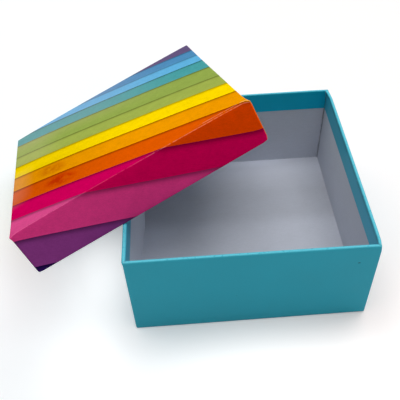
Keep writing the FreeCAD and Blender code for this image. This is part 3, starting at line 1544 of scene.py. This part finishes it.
@dataclass(frozen=True)
class TealPaper(Finish):
    """Teal coated paper with a soft satin face, mapped flat.

    Attributes:
        half: Half the outer panel's size, in metres as the next two.
        height: The walls' height.
        rim: The rim's width.
        colour: The paper's colour.
        worn: The colour along its folds: worn paper, and at the rim also a painted highlight.
        speck: The colour of dust.
        dust: How far apart the specks are, how large as a share of that, and how much they show.
        core: The colour where the face is chipped.
        chip: Where the front is chipped, across and above its foot, and half its size.
        chip_depth: How deep that is in the relief.
        turned_edge: How far from the rim's inner fold the flaps' painted shade starts and is full.
        turned_back_shade: Painted shade: what is left of each channel on the flap inside the back
            wall.
        turned_side_shade: Painted shade: what is left of each channel on the flaps inside the side
            walls.
        side_shade_drift: Painted shade on those: how much darker they are at the back, how much
            lighter
        they grow towards the front, and how far from the middle that starts and ends.
        inner_fold_shadow: How far below the rim's inner fold a painted shadow line lies on the side
            flaps, its
        width, and how much lighter it is.
        rim_wear_and_highlight: The width of the worn line along the rim, which also holds a painted
            highlight, how unbroken and how strong it is.
        foot_wear: The width of the worn line along the folds round the outer panel, how unbroken and
            how strong it is.
    """

    half: float = 65 * MM
    height: float = 60 * MM
    rim: float = 1.8 * MM
    fibre: float = 0.5
    contrast: float = 0.16
    patch: float = 28.0
    patch_tone: float = 0.12
    patch_rough: float = 0.15
    heights: Two = (0.5, 4.0)
    colour: Colour = tint(48, 173, 196)
    # Worn paper, and at the rim also a painted highlight.
    worn: Colour = tint(130, 232, 248)
    speck: Colour = tint(20, 60, 80)
    dust: Three = (14.0, 0.018, 0.5)
    core: Colour = tint(5, 50, 72)
    chip: Four = (54.7, 47.4, 0.8, 0.4)
    chip_depth: float = 4.0
    turned_edge: Two = (-0.2, 0.4)
    turned_back_shade: Three = (0.0, 1.09, 1.24)
    turned_side_shade: Three = (1.6, 1.02, 1.08)
    side_shade_drift: Three = (-0.09, 0.15, 45.0)
    inner_fold_shadow: Three = (1.3, 2.4, -0.35)
    rim_wear_and_highlight: Three = (1.7, 1.3, 0.55)
    foot_wear: Three = (0.8, 0.5, 0.25)

    def shade_flaps(
        self, surface: Surface, across: Source, back: Source, beside: Source, colour: Source
    ) -> Socket:
        """Paints shade on the turned-in flaps, and a shadow line below the rim's inner fold.

        Args:
            surface: The surface.
            across: U in millimetres.
            back: V in millimetres.
            beside: How far U is from the middle.
            colour: The paper's colour.

        Returns:
            The new colour.
        """
        inside = (self.half + self.height + self.rim) / MM
        start, end = (inside + off for off in self.turned_edge)
        # Painted shade: the flaps' colour as the same paper looks in shade inside the walls.
        for run, shares in ((back, self.turned_back_shade), (beside, self.turned_side_shade)):
            turned = surface.step(run, start, end)
            colour = surface.regrade(turned, colour, shares)
        # Painted shade on the side flaps, darker at the back and lighter towards the front.
        dark, rise, reach = self.side_shade_drift
        drift = surface.total(dark, surface.product(surface.step(back, reach, -reach), rise))
        colour = surface.lighten(colour, surface.product(turned, drift))
        # A painted shadow line below the rim's inner fold.
        below, width, gain = self.inner_fold_shadow
        line = surface.fold(across, inside + below, width)
        return surface.lighten(colour, surface.product(line, gain))

    def wear(self, surface: Surface, runs: tuple[Source, Source], colour: Source) -> Source:
        """Wears the folds, with a painted highlight in the rim's line, and lays dust over the paper.

        Args:
            surface: The surface.
            runs: How far U and V are from the middle.
            colour: The paper's colour.

        Returns:
            The worn colour.
        """
        middle_of_rim = (self.half + self.height + self.rim / 2) / MM
        # The rim's line is worn paper with a painted highlight; the outer panel's folds are worn
        # paper.
        folds = ((middle_of_rim, self.rim_wear_and_highlight), (self.half / MM, self.foot_wear))
        for at, (width, cover, share) in folds:
            for run in runs:
                mark = surface.fold(run, at, width, cover)
                colour = surface.blend(surface.product(mark, share), colour, self.worn)
        spacing, size, share = self.dust
        dust = surface.place(surface.effects.dust, Place=surface.point, Spacing=spacing, Size=size)
        return surface.blend(surface.product(dust.outputs["Mask"], share), colour, self.speck)

    def build(self, effects: Effects) -> bpy.types.Material:
        """Builds the material.

        Args:
            effects: The shared effects.

        Returns:
            The material.
        """
        surface, tone, height = self.start(effects)
        across, back = surface.parts(SHEET_MAP)
        runs = (surface.math("ABSOLUTE", across), surface.math("ABSOLUTE", back))
        colour = surface.lighten(self.colour, tone)
        # Painted shade on the turned-in flaps.
        colour = self.shade_flaps(surface, across, back, runs[0], colour)
        colour = self.wear(surface, runs, colour)
        aside, up, wide, tall = self.chip
        spots = []
        for run, middle, reach in ((across, aside, wide), (back, -self.half / MM - up, tall)):
            off = surface.math("ABSOLUTE", surface.math("SUBTRACT", run, middle))
            spots.append(surface.step(off, reach, reach / 2))
        chipped = surface.product(*spots)
        colour = surface.blend(chipped, colour, self.core)
        height = surface.total(height, surface.product(chipped, -self.chip_depth))
        return self.end(surface, colour, height)


@dataclass(frozen=True)
class StripedPaper(Finish):
    """Paper printed to look like overlapped strips of coloured card, mapped flat.

    Attributes:
        half: Half the outer panel's size, in metres.
        slant: How far the strips fall for each step to the right.
        strips: Each strip's name, its upper edge at the middle of the sheet and its colour, from
            back to front.
        shadow: How dark a strip's upper edge is.
        shadow_reach: How far its shadow fades.
        lip: How much lighter a strip's lower edge is.
        lip_reach: How far that lightness fades.
        mottle: The size and the strength of the print's mottle.
        reflection_patches: The colour and strength of each darker patch of painted reflection, its
            middle across the
        sheet and across the strips, and its half sizes.
        reflection_patch_end: How many squared half sizes from its middle such a patch ends.
        reflection_grain: The size of the grain in those patches, and at which of its values it starts
            and
        is full.
        sheen_washes: Painted sheen on the left end and the cool strips, and a painted highlight along
            the left
        edge, with the colour that shows there.
        left_darkening: How much darker the warm strips grow towards the left end.
        skirt: The front wall.
        deep: Painted shade on the front wall: what is left of each channel there.
        ends: A painted highlight beside the front wall's right upright fold, and a darker tone beside
        its left one.
        bare: The colour of the sheet under the print, where the folds have worn it, and of the painted
        highlights along them.
        fold: The width of the worn lines round the top, which also hold a painted highlight, and how
        unbroken they are.
        side_share: How bare the side ones are.
        front_share: How bare the front one is at least.
        front_rise: How much barer that grows, and where.
        front_highlight: How much lighter it is: a painted highlight.
        second_end: Where a second crease runs beside the front fold.
        crease_shadow: How far behind the fold its painted shadow line lies, its width, how unbroken it
            is and how much lighter.
        crease_highlight: The same for its painted highlight line, and how bare it is.
    """

    half: float = 68.5 * MM
    fibre: float = 0.55
    contrast: float = 0.5
    patch: float = 22.0
    patch_rough: float = 0.12
    heights: Two = (0.5, 2.0)
    slant: float = 0.363
    strips: tuple[tuple[str, float, Colour], ...] = (
        ("burgundy", 160.0, tint(120, 40, 75)),
        ("plum", 121.0, tint(105, 60, 110)),
        ("violet", 103.0, tint(102, 87, 127)),
        ("steel", 77.2, tint(80, 143, 189)),
        ("sky", 62.5, tint(98, 180, 225)),
        ("sea", 47.6, tint(74, 161, 164)),
        ("leaf", 29.7, tint(148, 170, 78)),
        ("lime", 8.4, tint(161, 177, 79)),
        ("yellow", -8.2, tint(255, 219, 0)),
        ("amber", -24.8, tint(242, 155, 0)),
        ("orange", -43.1, tint(226, 90, 0)),
        ("magenta", -61.2, tint(205, 0, 87)),
        ("pink", -77.8, tint(217, 75, 138)),
        ("purple", -96.7, tint(132, 74, 137)),
        ("navy", -114.0, tint(48, 30, 100)),
    )
    shadow: float = 0.58
    shadow_reach: float = 2.1
    lip: float = 0.06
    lip_reach: float = 0.6
    mottle: Two = (5.0, 0.2)
    # Painted reflection: darker, redder patches on the orange and amber strips.
    reflection_patches: tuple[tuple[Colour, float, float, float, float, float], ...] = (
        (tint(195, 40, 0), 0.85, -37.5, -52.0, 9.5, 6.5),
        (tint(200, 95, 0), 0.65, -42.4, -34.0, 9.5, 7.0),
    )
    reflection_patch_end: float = 1.6
    reflection_grain: Three = (5.0, 0.3, 0.62)
    # Painted sheen on the left end and the cool strips, and a painted highlight along the left edge.
    sheen_washes: tuple[Wash, ...] = (
        Wash(
            0.085,
            (Ramp(Way.ACROSS, -30.0, -56.0), Ramp(Way.RUN, -8.6, -8.2), Ramp(Way.RUN, 30.2, 29.7)),
            BARE_SHEET_AND_SHEEN,
        ),
        Wash(0.1, (Ramp(Way.ACROSS, 60.0, -20.0), Ramp(Way.RUN, 10.0, 34.0)), tint(255, 200, 190)),
        Wash(
            0.1,
            (Ramp(Way.ACROSS, -53.0, -68.0), Ramp(Way.BACK, 10.0, -5.0), Ramp(Way.BACK, -45.0, -30.0)),
            BARE_SHEET_AND_SHEEN,
        ),
    )
    # The warm strips grow darker towards the left end.
    left_darkening: tuple[Wash, ...] = tuple(
        Wash(
            share,
            (
                *ramps,
                Ramp(Way.RUN, -4.0, -10.0),
                Ramp(Way.RUN, -62.0, -60.0),
                Ramp(Way.FROM_LEFT, -0.5, 0.5),
            ),
        )
        for share, ramps in (
            (-0.12, (Ramp(Way.ACROSS, 15.0, -40.0),)),
            (-0.06, (Ramp(Way.ACROSS, -25.0, -62.0), Ramp(Way.RUN, -20.0, -26.0))),
        )
    )
    skirt: Ramp = Ramp(Way.FROM_FRONT, 0.2, -0.6)
    # Painted shade on the front wall.
    deep: Three = (1.12, 0.63, 0.95)
    # A painted highlight beside the right upright fold, and a darker tone beside the left one.
    ends: tuple[Wash, ...] = (
        Wash(0.3, (Ramp(Way.FROM_RIGHT, -0.9, -0.4),)),
        Wash(-0.45, (Ramp(Way.FROM_LEFT, 0.8, 0.2),)),
    )
    # Also the colour of the painted highlights along the folds.
    bare: Colour = BARE_SHEET_AND_SHEEN
    fold: Two = (0.4, 0.75)
    side_share: float = 0.26
    front_share: float = 0.07
    front_rise: Wash = Wash(0.19, (Ramp(Way.ACROSS, 0.0, 25.0),))
    front_highlight: float = 0.3
    second_end: Ramp = Ramp(Way.ACROSS, 38.0, 46.0)
    crease_shadow: Four = (1.2, 0.5, 1.0, -0.45)
    crease_highlight: Four = (2.1, 0.3, 0.9, 0.42)

    def lay_strips(self, surface: Surface, run: Source) -> tuple[Socket, Socket]:
        """Lays the strips over each other.

        Args:
            surface: The surface.
            run: The distance across the strips.

        Returns:
            The print's colour, and how light it is between the strips' shadows and lips.
        """
        group = surface.effects.strip
        colour, fall, rise = self.strips[0][2], FAR, FAR
        for name, edge, paint in self.strips[1:]:
            strip = surface.place(
                group, Run=run, Edge=edge, Under=colour, Strip=paint, Fall=fall, Rise=rise
            )
            strip.label = name
            colour, fall, rise = (strip.outputs[part] for part in ("Colour", "Fall", "Rise"))
        fade = surface.bell(surface.far(fall, 0.0, self.shadow_reach))
        glint = surface.math("EXPONENT", surface.math("DIVIDE", rise, -self.lip_reach))
        dark, light = surface.product(fade, -self.shadow), surface.product(glint, self.lip)
        return colour, surface.total(1.0, dark, light)

    def age(self, surface: Surface, ways: dict[Way, Source], colour: Source) -> Socket:
        """Paints reflection, sheen, the front wall's shade and its edges; darkens the warm left end.

        Args:
            surface: The surface.
            ways: The socket of each way.
            colour: The print's colour.

        Returns:
            The aged colour.
        """
        size, low, high = self.reflection_grain
        grain = surface.noise(surface.point, size, FINE_DETAIL, GRAIN_ROUGHNESS)
        blotch = surface.step(grain, low, high)
        # Painted reflection, in blotchy patches.
        for paint, share, aside, ahead, wide, deep in self.reflection_patches:
            beside = surface.far(ways[Way.ACROSS], aside, wide)
            off = surface.total(beside, surface.far(ways[Way.RUN], ahead, deep))
            reflection_share = surface.product(surface.step(off, self.reflection_patch_end, 0.0), blotch, share)
            colour = surface.blend(reflection_share, colour, paint)
        # Painted sheen and highlight.
        for wash in self.sheen_washes:
            colour = surface.blend(wash.strength(surface, ways), colour, wash.paint)
        # Darker warm strips towards the left end.
        colour = surface.lighten(colour, *(shade.strength(surface, ways) for shade in self.left_darkening))
        # Painted shade on the front wall.
        skirt = self.skirt.rise(surface, ways)
        colour = surface.regrade(skirt, colour, self.deep)
        # A painted highlight beside the right upright fold, and a darker tone beside the left one.
        ends = surface.total(*(end.strength(surface, ways) for end in self.ends))
        return surface.lighten(colour, surface.product(ends, skirt))

    def crease(self, surface: Surface, ways: dict[Way, Source], colour: Source) -> Socket:
        """Wears the top's folds with a painted highlight, and paints the second crease's two lines.

        Args:
            surface: The surface.
            ways: The socket of each way.
            colour: The print's colour.

        Returns:
            The creased colour.
        """
        edge = self.half / MM
        front = surface.total(self.front_share, self.front_rise.strength(surface, ways))
        folds = ((Way.ACROSS, 0.0, self.side_share), (Way.BACK, self.front_highlight, front))
        # Worn lines along the folds round the top, with a painted highlight; the front one is lighter
        # again.
        for way, gain, share in folds:
            mark = surface.fold(surface.math("ABSOLUTE", ways[way]), edge, *self.fold)
            colour = surface.lighten(colour, surface.product(mark, gain))
            colour = surface.blend(surface.product(mark, share), colour, self.bare)
        there = self.second_end.rise(surface, ways)
        # The second crease: a painted shadow line.
        behind, width, cover, gain = self.crease_shadow
        dark = surface.fold(ways[Way.BACK], behind - edge, width, cover)
        colour = surface.lighten(colour, surface.product(dark, there, gain))
        # And a painted highlight line beside it.
        behind, width, cover, share = self.crease_highlight
        pale = surface.fold(ways[Way.BACK], behind - edge, width, cover)
        return surface.blend(surface.product(pale, there, share), colour, self.bare)

    def build(self, effects: Effects) -> bpy.types.Material:
        """Builds the material.

        Args:
            effects: The shared effects.

        Returns:
            The material.
        """
        surface, tone, height = self.start(effects)
        across, back = surface.parts(SHEET_MAP)
        edge = self.half / MM
        ways = {
            Way.ACROSS: across,
            Way.BACK: back,
            Way.RUN: surface.math("MULTIPLY_ADD", across, self.slant, back),
            Way.FROM_LEFT: surface.total(across, edge),
            Way.FROM_RIGHT: surface.total(across, -edge),
            Way.FROM_FRONT: surface.total(back, edge),
        }
        colour, light = self.lay_strips(surface, ways[Way.RUN])
        size, share = self.mottle
        uneven = surface.total(1.0, tone, surface.product(surface.handling(size), share))
        colour = surface.dim(colour, surface.product(light, uneven))
        colour = self.age(surface, ways, colour)
        return self.end(surface, self.crease(surface, ways, colour), height)


@dataclass(frozen=True)
class LinedBoard(Finish):
    """Greyboard faced with a pale grey liner.

    Attributes:
        foot: Where the walls meet the panel, above its outside, in metres.
        wall_start: How far above that the walls start, with their own painted light.
        colour: The liner's colour.
        corner_joint_shade: How much lighter the inner corners are, below 0 for darker: the dark joint
            there, with
        painted shade in it.
        corner_joint_reach: How far from a corner that reaches.
        streaks: The size of the upright streaks in it, and at which of their values they start
            and are full.
        streak_shape: How much the coordinates are stretched to draw the streaks out.
        panel_light_and_shade: Painted light and shade on the panel: how much lighter it is, and where.
        wall_light: Painted light: how much lighter all walls are.
        left_wall_light: Painted light: how much lighter again the left wall is.
        pale: The colour of the painted highlight along the walls' feet.
        foot_highlight: How far above the foot it lies, its width, how unbroken and how strong it is.
    """

    foot: float = 1.65 * MM
    fibre: float = 0.8
    contrast: float = 0.22
    patch: float = 18.0
    patch_tone: float = 0.1
    wall_start: float = 0.05
    colour: Colour = tint(197, 200, 210)
    corner_joint_shade: float = -0.5
    corner_joint_reach: float = 1.4
    streaks: Three = (1.2, 0.35, 0.62)
    streak_shape: Three = (1.0, 1.0, 0.25)
    # Painted light and shade on the panel.
    panel_light_and_shade: tuple[Wash, ...] = (
        Wash(0.3, (Ramp(Way.BACK, 40.0, 56.0),)),
        Wash(-0.14, (Ramp(Way.BACK, 44.0, 30.0),)),
        Wash(0.15, (Ramp(Way.BACK, 14.0, 0.0),)),
        Wash(0.2, (Ramp(Way.BACK, 55.0, 61.0), Ramp(Way.ACROSS, 50.0, 20.0))),
        Wash(0.25, (Ramp(Way.ACROSS, -32.0, -58.0), Ramp(Way.BACK, 20.0, -5.0))),
    )
    wall_light: float = 0.05
    left_wall_light: Wash = Wash(0.12, (Ramp(Way.ACROSS, -50.0, -58.0),))
    # The colour of the painted highlight along the walls' feet.
    pale: Colour = tint(250, 250, 255)
    foot_highlight: Four = (0.45, 0.45, 0.8, 0.45)

    def painted_light(self, surface: Surface, on_wall: Source) -> Source:
        """Says how much painted light and shade the liner gets, on the panel and on the walls.

        Args:
            surface: The surface.
            on_wall: 1 on the walls and 0 on the panel.

        Returns:
            What to add to the tone.
        """
        ways = dict(zip((Way.ACROSS, Way.BACK), surface.axes(surface.point)))
        panel = surface.total(*(tone.strength(surface, ways) for tone in self.panel_light_and_shade))
        wall = surface.total(self.wall_light, self.left_wall_light.strength(surface, ways))
        on_panel = surface.math("SUBTRACT", 1.0, on_wall)
        return surface.total(surface.product(panel, on_panel), surface.product(wall, on_wall))

    def build(self, effects: Effects) -> bpy.types.Material:
        """Builds the material.

        Args:
            effects: The shared effects.

        Returns:
            The material.
        """
        surface, tone, height = self.start(effects)
        away, rise = surface.parts(SHELL_MAP)
        foot = self.foot / MM
        size, low, high = self.streaks
        drawn_out = surface.stretch(surface.point, self.streak_shape)
        streaks = surface.step(surface.noise(drawn_out, size, FINE_DETAIL), low, high)
        # Darker in streaks along the inner corners: the dark joint, with painted shade in it.
        near = surface.step(away, self.corner_joint_reach, 0.0)
        corner_joint_shade = surface.product(near, streaks, self.corner_joint_shade)
        on_wall = surface.math("GREATER_THAN", rise, foot + self.wall_start)
        # The liner's colour, with painted light and shade on the panel and painted light on the walls.
        colour = surface.lighten(self.colour, tone, corner_joint_shade, self.painted_light(surface, on_wall))
        # A painted highlight along the walls' feet.
        above, width, cover, share = self.foot_highlight
        mark = surface.fold(rise, foot + above, width, cover)
        colour = surface.blend(surface.product(mark, on_wall, share), colour, self.pale)
        return self.end(surface, colour, height)


@dataclass(frozen=True)
class GummedTape(Finish):
    """Brown gummed paper tape.

    Attributes:
        colour: The tape's colour.
    """

    fibre: float = 1.2
    contrast: float = 0.5
    patch: float = 9.0
    patch_tone: float = 0.2
    colour: Colour = tint(196, 160, 112)

    def build(self, effects: Effects) -> bpy.types.Material:
        """Builds the material.

        Args:
            effects: The shared effects.

        Returns:
            The material.
        """
        surface, tone, height = self.start(effects)
        return self.end(surface, surface.lighten(self.colour, tone), height)


# ---------------------------------------------------------------------------
# The studio
# ---------------------------------------------------------------------------


@dataclass
class Studio:
    """A white floor, soft lamps and the camera.

    Attributes:
        floor_size: Width of the floor.
        floor_gap: How far under the box it lies.
        floor_roughness: Its roughness.
        camera_place: Where the camera stands.
        camera_turn: Its turn about X, Y and Z, in degrees.
        lens: Its focal length in millimetres.
        frame_width: The width of its frame in millimetres.
        nearest: How near it sees.
        lamps: Each lamp's name, its share of the light on a level face, how wide it looks in
            degrees, and the direction that it stands in.
        fill: The strength of the light from all round.
        floor_bounce: How much light the floor throws back at the box.
        floor_tones: The floor's colour for the camera at the left and at the right, tinted against the
        colour that light bounced off the box casts on it.
        floor_span: Where along X it starts to change from one to the other, and where it ends.
        floor_warm: Its colour where it is warmest, a warm tint painted into the shadow to the right of
        the box.
        warm_spot: The middle of that along X and how far it spreads, and the same along Y.
        floor_glow: How much the floor adds to reach white for the camera.
        pools: Where light reaches in round the box and the floor glows more: how much, the
            middle along X and how far it spreads, and the same along Y.
    """

    floor_size: float = 12.0
    floor_gap: float = 0.05 * MM
    floor_roughness: float = 0.9
    camera_place: Three = (-28.72 * MM, -237.23 * MM, 288.28 * MM)
    camera_turn: Three = (42.806, 1.960, -3.328)
    lens: float = 51.985
    frame_width: float = 36.0
    nearest: float = 0.01
    lamps: tuple[tuple[str, float, float, Three], ...] = (
        ("overhead_softbox", 0.445, 50.0, (0.0, 0.0, 1.0)),
        ("back_right_panel", 0.182, 50.0, (0.7071, 0.7071, 1.0)),
        ("back_left_panel", 0.131, 50.0, (-0.7071, 0.7071, 1.0)),
    )
    fill: float = 0.241
    floor_bounce: float = 0.8
    floor_tones: tuple[Colour, Colour] = ((0.955, 0.985, 1.0, 1.0), (1.0, 0.955, 0.945, 1.0))
    floor_span: Two = (-110 * MM, 60 * MM)
    floor_warm: Colour = (1.0, 0.895, 0.87, 1.0)
    warm_spot: Four = (64 * MM, 44 * MM, -48 * MM, 34 * MM)
    floor_glow: float = 0.05
    pools: tuple[tuple[float, float, float, float, float], ...] = (
        (0.72, -87 * MM, 30 * MM, -23 * MM, 38 * MM),
        (0.4, 10 * MM, 72 * MM, -100 * MM, 28 * MM),
        (0.15, 104 * MM, 24 * MM, -82 * MM, 34 * MM),
        (0.1, -140 * MM, 40 * MM, -45 * MM, 35 * MM),
        (0.25, -90 * MM, 20 * MM, -88 * MM, 22 * MM),
    )

    def lay_floor(self) -> None:
        """Lays the white floor, which shows white to the camera and keeps the shadows."""

        def near(spot: list[float]) -> Socket:
            """Says how near a place is to a soft spot's middle, given as the pools are."""
            return wiring.bell(*map(wiring.far, place.outputs, spot[::2], spot[1::2]))

        bpy.ops.object.select_all(action="DESELECT")
        bpy.ops.mesh.primitive_plane_add(size=self.floor_size, location=(0, 0, -self.floor_gap))
        floor = bpy.context.active_object
        floor.name = "studio_floor"
        material = bpy.data.materials.new("studio_floor")
        material.use_nodes = True
        wiring = Wiring(material.node_tree)
        shader = material.node_tree.nodes["Principled BSDF"]
        shader.inputs["Roughness"].default_value = self.floor_roughness
        shader.inputs["Specular IOR Level"].default_value = 0.0
        seen = wiring.node("ShaderNodeLightPath").outputs["Is Camera Ray"]
        bounce = (self.floor_bounce,) * 3 + (1.0,)
        place = wiring.node("ShaderNodeSeparateXYZ")
        wiring.feed(place.inputs[0], wiring.node("ShaderNodeTexCoord").outputs["Object"])
        # Tinted against the colour that light bounced off the box casts on the floor.
        tone = wiring.blend(wiring.step(place.outputs[0], *self.floor_span), *self.floor_tones)
        # A warm tint painted into the shadow to the right of the box.
        tone = wiring.blend(near(self.warm_spot), tone, self.floor_warm)
        wiring.feed(shader.inputs["Base Color"], wiring.blend(seen, bounce, tone))
        glow = self.floor_glow
        for strength, *spot in self.pools:
            glow = wiring.total(glow, wiring.product(near(spot), strength))
        shader.inputs["Emission Color"].default_value = (1.0, 1.0, 1.0, 1.0)
        wiring.feed(shader.inputs["Emission Strength"], wiring.product(seen, glow))
        floor.data.materials.append(material)

    def light(self) -> None:
        """Hangs the lamps and lights the room evenly, with a white backdrop for the camera."""
        for name, share, spread, stands in self.lamps:
            lamp = bpy.data.lights.new(name, "SUN")
            direction = Vector(stands).normalized()
            lamp.energy = math.pi * share / direction.z
            lamp.angle = math.radians(spread)
            holder = bpy.data.objects.new(name, lamp)
            holder.rotation_euler = direction.to_track_quat("Z", "Y").to_euler()
            bpy.context.scene.collection.objects.link(holder)
        world = bpy.data.worlds.new("studio_room")
        bpy.context.scene.world = world
        world.use_nodes = True
        wiring = Wiring(world.node_tree)
        path = wiring.node("ShaderNodeLightPath")
        seen = wiring.math(
            "MAXIMUM", path.outputs["Is Camera Ray"], path.outputs["Is Transmission Ray"]
        )
        background = world.node_tree.nodes["Background"]
        background.inputs["Color"].default_value = (1.0, 1.0, 1.0, 1.0)
        strength = wiring.math("MULTIPLY_ADD", seen, 1.0 - self.fill, self.fill)
        wiring.feed(background.inputs["Strength"], strength)

    def set_camera(self) -> None:
        """Sets up the camera."""
        data = bpy.data.cameras.new("camera")
        data.lens = self.lens
        data.sensor_width = self.frame_width
        data.clip_start = self.nearest
        camera = bpy.data.objects.new("camera", data)
        camera.location = self.camera_place
        camera.rotation_euler = [math.radians(angle) for angle in self.camera_turn]
        bpy.context.scene.collection.objects.link(camera)
        bpy.context.scene.camera = camera

    def build(self) -> None:
        """Builds the whole studio."""
        self.lay_floor()
        self.light()
        self.set_camera()
        bpy.context.scene.view_settings.view_transform = "Standard"


def main() -> None:
    """Builds the box, its finishes and the studio, and reports each piece."""
    logging.basicConfig(level=logging.INFO, format="%(message)s")
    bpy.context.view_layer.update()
    effects = Effects()
    tray = Tray("tray", Shape.of_tray("tray_wrap"), -1, 14 * MM, Slot.TEAL)
    lid = Lid("lid", Shape.of_lid("lid_wrap"), 1, 12 * MM, Slot.STRIPES, base_fold=0.6 * MM)
    teal = TealPaper(
        "teal_coated_paper", 0.42, 0.12, half=tray.half.x, height=tray.shape.height, rim=tray.rim
    )
    stripes = StripedPaper("striped_print", 0.45, 0.0, half=lid.half.x)
    board = LinedBoard("lined_greyboard", 0.85, 0.2, foot=tray.paper + tray.board).build(effects)
    tape = GummedTape("gummed_tape", 0.7, 0.3).build(effects)
    for half, paper in ((tray, teal), (lid, stripes)):
        for piece in half.build(paper.build(effects), board, tape):
            LOG.info("%s: %d faces", piece.name, len(piece.data.polygons))
    Studio().build()


if __name__ == "__main__":
    main()
